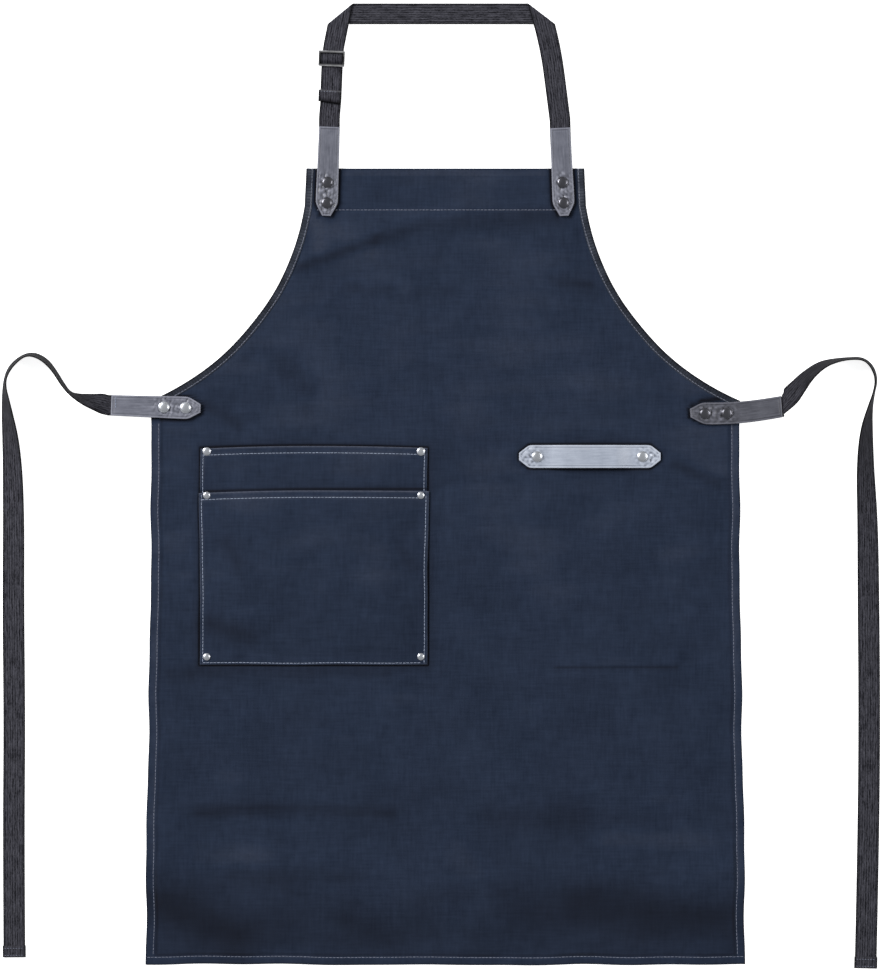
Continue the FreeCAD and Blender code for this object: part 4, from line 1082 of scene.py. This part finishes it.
def leather_strip(
    name, node, slot, tip, turn, long, wide, mat, under, creased,
    tips=1, tip_flat=4.75, tip_cut=14.0, arch=None, bend=None, shade=0.0,
):
    """Strap leather with one or two pointed ends, rounded edges and a pressed line along its border.

    creased holds the runs of its rivets, arch gives its height along its length, and bend its shift sideways.
    """
    ahead, sideways = heading(turn)
    cut = wide[0] / 2 - tip_flat
    slant = math.hypot(cut, tip_cut) / tip_cut
    at_rivets, at_tip = np.arange(2.5, max(creased) + 12, 0.9), tip_cut + np.array([-1, 0, 1])
    at_ends = LEATHER_INSETS, long - LEATHER_INSETS, [long]
    stops = merged(*at_ends, np.arange(0, long, 2.4), at_tip, at_rivets, closest=0.08)
    stops[-1] = long

    def half_width(run, inset):
        straight = (wide[0] + (wide[1] - wide[0]) * run / long) / 2 - inset
        point = tip_flat + cut * run / tip_cut - inset * slant
        half = -CORNER * np.log(np.exp(-straight / CORNER) + np.exp(-point / CORNER))
        if tips == 2:
            end = tip_flat + cut * (long - run) / tip_cut - inset * slant
            half = -CORNER * np.log(np.exp(-half / CORNER) + np.exp(-end / CORNER))
        return half

    right = np.stack([half_width(stops, inset) for inset in LEATHER_INSETS], 1)
    right = np.maximum(right, np.linspace(1.0, 0.3, len(LEATHER_INSETS))[None])
    inner = right[:, -1:] * np.linspace(1, -1, 21)[None, 1:-1]
    across = np.concatenate([right, inner, -right[:, ::-1]], 1)[:, ::-1]
    run = np.repeat(stops[:, None], across.shape[1], 1)
    inset = np.minimum(half_width(run, 0) - np.abs(across), np.minimum(run, long - run))
    point = (tip_flat + cut * run / tip_cut - np.abs(across)) / slant
    inset = np.minimum(inset, point)
    if tips == 2:
        inset = np.minimum(inset, (tip_flat + cut * (long - run) / tip_cut - np.abs(across)) / slant)
    inset = np.maximum(inset, 0)
    rise = LEATHER_THICK - rounding(inset, LEATHER_EDGE)
    rise = rise - 0.2 * bell(inset - GROOVE_INSET, 0.38) + 0.05 * waves(run, across, 61, 16, 9, 30)
    rumple = sum(bell(np.hypot(run - place, across), 11) for place in creased)
    rumple = np.clip(rumple, 0, 1) * smoothstep(inset, 0.6, 2.4)
    ridges = waves(run, across, int(abs(turn) * 10) + 3, 26, 3.2, 9)
    rise = rise + 0.3 * rumple * ridges
    lift = arch(run) if arch else 0.0
    shift = bend(run) if bend else 0.0
    plan = np.array([*tip, 0.0]) + ahead * run[..., None] + sideways * (across + shift)[..., None]
    up = np.array([0, 0, 1.0])
    top, bottom = [plan + up * (under + lift + high)[..., None] for high in (rise, np.zeros_like(rise))]
    uv = np.stack([across / 24 + 0.5, run / 24], -1)
    # The leather's marks: painted highlights on the rounded edge's shoulder and inside the pressed line, painted
    # shade in the pressed line and at the very edge, paler ridges and darker troughs of the wrinkles round the
    # rivets as painted light and shade, and each tab's darker tint given by shade.
    painted_light_and_wear = 0.6 * bell(inset - 0.9, 0.8) - 0.55 * bell(inset - GROOVE_INSET, 0.5)
    painted_light_and_wear = painted_light_and_wear + 0.25 * bell(inset - 3.6, 0.5)
    painted_light_and_wear = painted_light_and_wear * (0.75 - 0.45 * rumple) - 0.5 * bell(inset, 0.35) + 0.5 * rumple * ridges + shade
    return stand_in(slab(name, top, bottom, mat, uv, np.clip(painted_light_and_wear, -1, 1), sharp=55), node)


def waist_bend(run):
    """Sideways shift of the right waist tab, which curves up towards its tie."""
    return 0.6 + 3.1 * np.sin(math.pi * np.clip(run / 101, 0, 1)) + 0.6 * run / 101


TABS["right_waist"]["bend"] = waist_bend
for name, tab in TABS.items():
    leather_strip(name + "_tab_leather", name + "_tab", "leather", under=TAB_UNDER, **tab)

LOOP_ROOM, LOOP_SEAT, LOOP_RISE = 4.4, 28.0, 24.0
LOOP_UNDER = PANEL_TOP + 0.02


def loop_arch(run):
    """Height of the tool loop above its seats."""
    return LOOP_ROOM * smoothstep(np.minimum(run, LOOP_LONG - run), LOOP_SEAT, LOOP_SEAT + LOOP_RISE)


leather_strip(
    "tool_loop_leather",
    "tool_loop",
    "loop_leather",
    tip=LOOP_TIP,
    turn=90,
    long=LOOP_LONG,
    wide=(25.4, 25.4),
    mat=PAINTED_SHEEN_LOOP_LEATHER,
    creased=(14.0, 141.7),
    under=LOOP_UNDER,
    tips=2,
    tip_flat=4.0,
    tip_cut=11.0,
    arch=loop_arch,
)

# Rivet caps: domed, with a rolled rim. Each pair is a share of the radius, and a share of the height.

CAP_PROFILE = [(0.0, 1.0), (0.25, 0.985), (0.5, 0.93), (0.68, 0.84), (0.8, 0.72), (0.86, 0.6), (0.9, 0.5)]
CAP_PROFILE += [(0.925, 0.46), (0.95, 0.47), (0.98, 0.43), (1.0, 0.3), (0.99, 0.12), (0.95, 0.0)]


def rivet_caps(name, node, places, base, radius, tall, mat, seed):
    """One piece of like caps, each tipped a very little."""
    draws = np.random.default_rng(seed)
    around = np.linspace(0, 2 * math.pi, 40, endpoint=False)
    points, faces = [], []
    for x, y in places:
        start = len(points)
        tip_x, tip_y = draws.normal(0, 0.03, 2)
        points.append((x, y, base + tall))
        for share, rise in CAP_PROFILE[1:]:
            for angle in around:
                dx, dy = radius * share * math.cos(angle), radius * share * math.sin(angle)
                points.append((x + dx, y + dy, base + tall * rise + (dx * tip_x + dy * tip_y) * 0.5))
        count = len(around)
        faces += [(start, start + 1 + i, start + 1 + (i + 1) % count) for i in range(count)]
        rings = start + 1 + np.arange((len(CAP_PROFILE) - 1) * count).reshape(-1, count)
        beside = np.roll(rings, -1, axis=1)
        faces += np.stack([rings[:-1], rings[1:], beside[1:], beside[:-1]], -1).reshape(-1, 4).tolist()
        faces.append(rings[-1].tolist())
    caps = add_mesh(name, points, faces, mat, sharp=60)
    if node:
        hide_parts(node)


def rivet_places(name):
    """Where the rivets of a tab are."""
    tab = TABS[name]
    ahead, sideways = (v[:2] for v in heading(tab["turn"]))
    shift = tab.get("bend", lambda run: 0.0)
    return [tuple(np.array(tab["tip"]) + ahead * run + sideways * shift(run)) for run in tab["creased"]]


CAP_SINK = 0.06
LEATHER_TOP = TAB_UNDER + LEATHER_THICK - CAP_SINK
neck_places = rivet_places("left_neck") + rivet_places("right_neck")
left_places, right_places = rivet_places("left_waist"), rivet_places("right_waist")
# The neck caps and the right waist caps take the darker copy of the nickel as painted dark reflection.
rivet_caps("neck_caps", "neck_tab_rivet_caps", neck_places, LEATHER_TOP, 6.2, 2.6, NICKEL_PAINTED_DARK_REFLECTION, 71)
rivet_caps("left_waist_caps", "waist_tab_rivet_caps", left_places, LEATHER_TOP, 6.2, 2.6, NICKEL, 72)
rivet_caps("right_waist_caps", None, right_places, LEATHER_TOP, 6.2, 2.6, NICKEL_PAINTED_DARK_REFLECTION, 73)
loop_places = [(LOOP_MIDDLE[0] + off, LOOP_MIDDLE[1]) for off in (-57.9, 57.9)]
loop_top = LOOP_UNDER + LEATHER_THICK - CAP_SINK
rivet_caps("loop_caps", "tool_loop_rivet_caps", loop_places, loop_top, 6.0, 2.5, NICKEL, 74)
columns = (POCKET_LEFT + 7.2, POCKET_RIGHT - 7.2)
rear_places = [(x, REAR_MOUTH - 6.0) for x in columns]
front_places = [(x, y) for y in (FRONT_MOUTH - 5.3, POCKET_FOOT + 8.8) for x in columns]
rivet_caps("rear_pocket_caps", "pocket_rivet_caps", rear_places, 3.15, 4.6, 1.9, NICKEL, 75)
rivet_caps("front_pocket_caps", None, front_places, 3.95, 4.0, 1.8, NICKEL, 76)
for node in ("neck_tab", "waist_tab", "tool_loop", "pocket"):
    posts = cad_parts[node + "_rivet_posts"]
    posts.data.materials.clear()
    posts.data.materials.append(NICKEL)

# Webbing ends under the tabs.

WEB_START = 17  # how far from a tab's tip the webbing under it starts
TIE_START = 102.6  # how far from a waist tab's tip its webbing meets the tie
STRAP_TURN = 94  # how far from a neck tab's tip its webbing turns into the leg's direction
WEB_THICK = 1.36
WEB_MIDDLE = 3.1
HINGE_Y = 395.7
BLEND_START, BLEND_END = 392.2, 399.9
SEAM_Y = 400.5


def web_along(centres, ahead, wide):
    """Rings of flat webbing along a line, and their weave coordinates."""
    across = np.cross(ahead, (0, 0, 1))
    return web_sections(centres, across, np.cross(across, ahead), wide, WEB_THICK)


for name in ("left", "right"):
    tab = TABS[name + "_waist"]
    ahead, sideways = heading(tab["turn"])
    runs = np.linspace(WEB_START, TIE_START, 24)[:, None]
    shift = tab["bend"](runs) if "bend" in tab else 0.0
    centres = np.array([*tab["tip"], WEB_MIDDLE]) + ahead * runs + sideways * shift
    web_piece(name + "_tie_end", *web_along(centres, frames_along(centres), 22.6), name + "_tie_anchor")
cross_x, cross_z = -361.7, TAB_UNDER + LEATHER_THICK + 0.05
bartack = [(cross_x, 94.8, cross_z), (cross_x - 0.4, 82.6, cross_z)]
stitches("left_waist_stitches", [bartack], THREAD, long=2.6, gap=0.5, seed=58)

LEFT_LEG_FOOT = np.array([-127.6, HINGE_Y])
left_ahead, left_across = (v[:2] for v in heading(-2.26))
NECK_WIDE = 23.0
left_seam = LEFT_LEG_FOOT + left_ahead * (SEAM_Y - HINGE_Y)
TOP_RUN_Y = 516.7
LEFT_CORNER_X, RIGHT_CORNER_X = -115.4, 105.6
TAIL_END = 24.0


def leg_line(corner_x, end_y, lean, extra, bend):
    """Middle line of one leg in plan, from its upper corner down, which leans less below its bend."""
    y = np.linspace(TOP_RUN_Y, end_y, 400)
    slope = np.tan(np.radians(lean + extra * smoothstep(y, *bend)))
    x = corner_x + np.concatenate([[0], np.cumsum((slope[1:] + slope[:-1]) / 2 * np.diff(y))])
    return np.stack([x, y], 1)


left_leg = leg_line(LEFT_CORNER_X, LEFT_LEG_FOOT[1] + TAIL_END, 2.26, 8.9, (455, 490))
right_leg = leg_line(RIGHT_CORNER_X, SEAM_Y, -7.3, -7.7, (440, 515))
right_seam = right_leg[-1]
right_ahead = (right_leg[-2] - right_leg[-1]) / np.linalg.norm(right_leg[-2] - right_leg[-1])


def hinge_web(name, tab, seam, leg_ahead, node):
    """Webbing from under a neck tab to just above the hinge line."""
    ahead = heading(tab["turn"])[0][:2]
    start, bend = [np.array(tab["tip"]) + ahead * run for run in (WEB_START, STRAP_TURN)]
    under = start + (bend - start) * np.linspace(0, 1, 20)[:, None]
    beyond = bend + (seam - bend) * np.linspace(0, 1, 16)[1:, None]
    stops = np.concatenate([under, beyond])
    centres = np.concatenate([stops, np.full((len(stops), 1), WEB_MIDDLE)], 1)
    ahead = frames_along(centres)
    share = smoothstep(np.arange(len(ahead)), len(ahead) - 14, len(ahead) - 1)[:, None]
    ahead = ahead * (1 - share) + np.array([*leg_ahead, 0]) * share
    web = web_piece(name, *web_along(centres, ahead, NECK_WIDE), node, None)
    start, end = [(0, y * MM, WEB_MIDDLE * MM) for y in (BLEND_START, BLEND_END)]
    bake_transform(web)


hinge_web("left_strap_end", TABS["left_neck"], left_seam, left_ahead, "left_strap_anchor")
hinge_web("right_strap_end", TABS["right_neck"], right_seam, right_ahead, "right_strap_anchor")

# Neck strap: a flat strip that is folded over itself at both upper corners

LOW_MIDDLE = 1.72
STRAP_BEND = 0.78


def folded(points, corner, normal):
    """Wraps the part of a flat strip that lies beyond a fold line over the rest of it."""
    corner = corner - normal * math.pi * STRAP_BEND / 2
    height = points[..., 2] - LOW_MIDDLE
    beyond = (points[..., :2] - corner) @ normal
    angle = np.clip(beyond / STRAP_BEND, 0, math.pi)
    extra = np.maximum(beyond - math.pi * STRAP_BEND, 0)
    moved = np.minimum(beyond, 0) + (STRAP_BEND - height) * np.sin(angle) - extra
    plan = points[..., :2] + (moved - beyond)[..., None] * normal
    up = LOW_MIDDLE + STRAP_BEND - (STRAP_BEND - height) * np.cos(angle)
    return np.concatenate([plan, up[..., None]], -1)


def laid_out(leg, side):
    """A leg's middle line as it was before it was folded over, and the direction square to the fold."""
    way = (leg[0] - leg[1]) / np.linalg.norm(leg[0] - leg[1])
    normal = np.array([side, 0.0]) + way
    normal = normal / np.linalg.norm(normal)
    return leg - 2 * ((leg - leg[0]) @ normal)[:, None] * normal, normal


left_flat, left_normal = laid_out(left_leg, -1.0)
right_flat, right_normal = laid_out(right_leg, 1.0)
top_run = np.stack([np.linspace(LEFT_CORNER_X, RIGHT_CORNER_X, 400), np.full(400, TOP_RUN_Y)], 1)
line = np.concatenate([left_flat[:0:-1], top_run, right_flat[1:]])
line_run = length_along(line)
left_at = line_run[len(left_flat) - 1]
right_at = line_run[len(left_flat) + len(top_run) - 2]
strap_long = line_run[-1]
at_corners = [corner + np.arange(-21, 21.1, 0.6) for corner in (left_at, right_at)]
strip_stops = merged(np.arange(0, strap_long, 4.0), *at_corners, [strap_long], closest=0.3)
strip_stops[-1] = strap_long
ring, ring_u = web_ring(NECK_WIDE, WEB_THICK)
way = np.gradient(line, line_run, axis=0)
centre, way = [
    np.stack([np.interp(strip_stops, line_run, values[:, i]) for i in range(2)], 1) for values in (line, way)
]
way /= np.linalg.norm(way, axis=1)[:, None]
flat = np.zeros((len(strip_stops), len(ring), 3))
flat[:, :, 0] = centre[:, :1] - ring[None, :, 0] * way[:, 1:]
flat[:, :, 1] = centre[:, 1:] + ring[None, :, 0] * way[:, :1]
flat[:, :, 2] = LOW_MIDDLE + ring[None, :, 1]
strap = folded(folded(flat, right_leg[0], right_normal), left_leg[0], left_normal)
LONG_MIDDLE = 4.6
leg_middle = LOW_MIDDLE + 2 * STRAP_BEND
strap[:, :, 2] += ((LONG_MIDDLE - leg_middle) * smoothstep(left_at - strip_stops, 12, 42))[:, None]
strap[:, :, 2] -= ((leg_middle - WEB_MIDDLE) * smoothstep(strip_stops - right_at, 14, 90))[:, None]
strap_uv = woven(ring_u, strip_stops / NECK_WIDE, strap.shape)
neck_strap = web_piece("neck_strap_webbing", strap, strap_uv, "neck_strap", "neck_loop")


def on_left_leg(run, offset, z):
    """Point on the left leg, by how far it is above the hinge line and to the side of the middle."""
    return np.array([*(LEFT_LEG_FOOT + left_ahead * run + left_across * offset), z])


def leg_strip(name, node, runs, middles, wide, thicks, body="neck_loop", offsets=0.0, slants=0.0, painted_light_and_wear=None):
    """Webbing along the left leg. Heights, thicknesses, offsets and slants: one, or one for each station."""
    values = np.broadcast_arrays(runs, middles, thicks, offsets, slants, np.gradient(middles, runs))
    sections = []
    for run, middle, thick, offset, slant, slope in zip(*values):
        ring, u = web_ring(wide, thick)
        lean = math.atan(slope)
        back, up = math.sin(lean), math.cos(lean)
        places = [(run - b * back + slant * a, a + offset, middle + b * up) for a, b in ring]
        sections.append([on_left_leg(*place) for place in places])
    sections = np.array(sections)
    painted_light_and_wear = None if painted_light_and_wear is None else np.broadcast_to(np.reshape(painted_light_and_wear, (-1, 1)), sections.shape[:2])
    return web_piece(name, sections, woven(u, runs / 24, sections.shape), node, body, painted_light_and_wear)


tail_runs = np.array([22.6, 22.9, 23.4, 25, 28, 31, 33.2, 34.8, 35.7, 36.15, 36.4])
TAIL_MIDDLE, TAIL_WIDE, TAIL_TOP = 5.3, 24.6, 6.66
leg_strip(
    "strap_tail_fold",
    "strap_tail_hem",
    tail_runs,
    np.full(len(tail_runs), TAIL_MIDDLE),
    TAIL_WIDE,
    [1.5, 2.1, 2.6, 2.75, 2.6, 2.6, 2.6, 2.75, 2.5, 2.0, 1.4],
    offsets=-0.6,
    slants=np.linspace(-0.12, -0.03, len(tail_runs)),
    # Painted shadow at the fold's lower end and a painted highlight near its upper end.
    painted_light_and_wear=[-1, -1, -1, -0.6, 0, 0, 0, 0.1, 0.4, 0.5, 0.2],
)
tail_line = [on_left_leg(34.9, -10.5, TAIL_TOP), on_left_leg(34.6, 9.6, TAIL_TOP)]
stitches("strap_tail_stitches", [tail_line], body="neck_loop", seed=55, **SEWN_FOLD)

SLIDER_RUN = 71.0
seam_run = SEAM_Y - HINGE_Y
buckle_runs = merged(np.arange(seam_run, SLIDER_RUN - 4, 4), [seam_run, 66, 68, 70, 71])
buckle_strap = leg_strip(
    "buckle_strap_webbing",
    "buckle_strap",
    buckle_runs,
    WEB_MIDDLE + 0.1 * smoothstep(buckle_runs, 8, 20),
    NECK_WIDE,
    WEB_THICK,
    offsets=0.9 * smoothstep(buckle_runs, 6, 30),
)
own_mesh(buckle_strap)

# Slider: a frame with two slots and a centre bar, all its edges rounded

SLIDER_UNDER, SLIDER_THICK = 5.45, 2.5
SLIDER_X = [-14.3, -12.5, 12.5, 14.3]
SLIDER_Y = [-8.5, -6.1, -1.6, 1.6, 6.1, 8.5]
heights = (SLIDER_UNDER, SLIDER_UNDER + SLIDER_THICK)
corners = [(x, y, z) for z in heights for y in SLIDER_Y for x in SLIDER_X]
columns, count = len(SLIDER_X), len(SLIDER_X) * len(SLIDER_Y)
slots = {(1, 1), (1, 3)}
cells = {(i, j) for i in range(columns - 1) for j in range(len(SLIDER_Y) - 1)} - slots
faces = []
for i, j in sorted(cells):
    a, b, c, d = j * columns + i, j * columns + i + 1, (j + 1) * columns + i + 1, (j + 1) * columns + i
    faces += [(a + count, b + count, c + count, d + count), (d, c, b, a)]
    sides = ((a, b, (i, j - 1)), (b, c, (i + 1, j)), (c, d, (i, j + 1)), (d, a, (i - 1, j)))
    for p, q, beside in sides:
        if beside not in cells:
            faces.append((p, q, q + count, p + count))
points = [on_left_leg(SLIDER_RUN + y, x, z) for x, y, z in corners]
# Painted highlight: the outer edges of the top and bottom rails are painted pale.
painted_light_and_wear = [0.8 * (abs(y) == SLIDER_Y[-1]) for x, y, z in corners]
slider = add_mesh("slider_frame", points, faces, SLIDER_PLASTIC, None, painted_light_and_wear=painted_light_and_wear, sharp=60)
bevel = slider.modifiers.new("edges", "BEVEL")
bevel.width = 0.5 * MM
bevel.segments = 4
bevel.limit_method = "ANGLE"
bevel.angle_limit = math.radians(40)
bpy.context.view_layer.objects.active = slider
bpy.ops.object.modifier_apply(modifier="edges")
slider.data.shade_smooth()
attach(slider, "slider")
stand_in(slider, "slider_buckle")

half_hump = np.array([0.8, 1.6, 2.5, 3.4, 4.4, 5.3, 6.0, 6.6, 7.4])
hump_runs = np.concatenate([-half_hump[::-1], [0], half_hump])
hump_middles = 4.75 + 4.0 * smoothstep(7.0 - np.abs(hump_runs), 1.0, 5.6)
leg_strip("strap_over_bar", "strap_hump", SLIDER_RUN + hump_runs, hump_middles, 25.2, 1.15, "slider")

# Floor and light


def area_light(name, place_m, size, power):
    """A soft box that points at the middle of the apron."""
    light = bpy.data.lights.new(name, "AREA")
    light.shape = "RECTANGLE"
    light.size, light.size_y = size
    light.energy = power
    made = bpy.data.objects.new(name, light)
    made.location = place_m
    made.rotation_euler = (-Vector(place_m)).to_track_quat("-Z", "Y").to_euler()
    scene.collection.objects.link(made)


FLOOR_HALF, FLOOR_Z = 6.0, -0.0004
floor_corners = [(x * FLOOR_HALF, y * FLOOR_HALF, FLOOR_Z) for x, y in ((-1, -1), (1, -1), (1, 1), (-1, 1))]
floor_mesh = bpy.data.meshes.new("floor")
floor_mesh.from_pydata(floor_corners, [], [(0, 1, 2, 3)])
floor = bpy.data.objects.new("floor", floor_mesh)
scene.collection.objects.link(floor)
floor_paint = Paint("floor_paint", 0.9, specular=0.0)
floor_paint.shader.inputs["Base Color"].default_value = (0.92, 0.92, 0.92, 1)
floor_paint.shader.inputs["Emission Color"].default_value = (1, 1, 1, 1)
floor_paint.shader.inputs["Emission Strength"].default_value = 0.8
floor_mesh.materials.append(floor_paint.made)

world = bpy.data.worlds.new("studio")
world.use_nodes = True
world.node_tree.nodes["Background"].inputs["Color"].default_value = (0.96, 0.98, 1.0, 1)
world.node_tree.nodes["Background"].inputs["Strength"].default_value = 0.42
scene.world = world
area_light("key_softbox", (-4.2, 2.4, 3.2), (2.6, 2.2), 450)
area_light("fill_softbox", (4.4, 0.8, 3.6), (2.4, 2.4), 170)
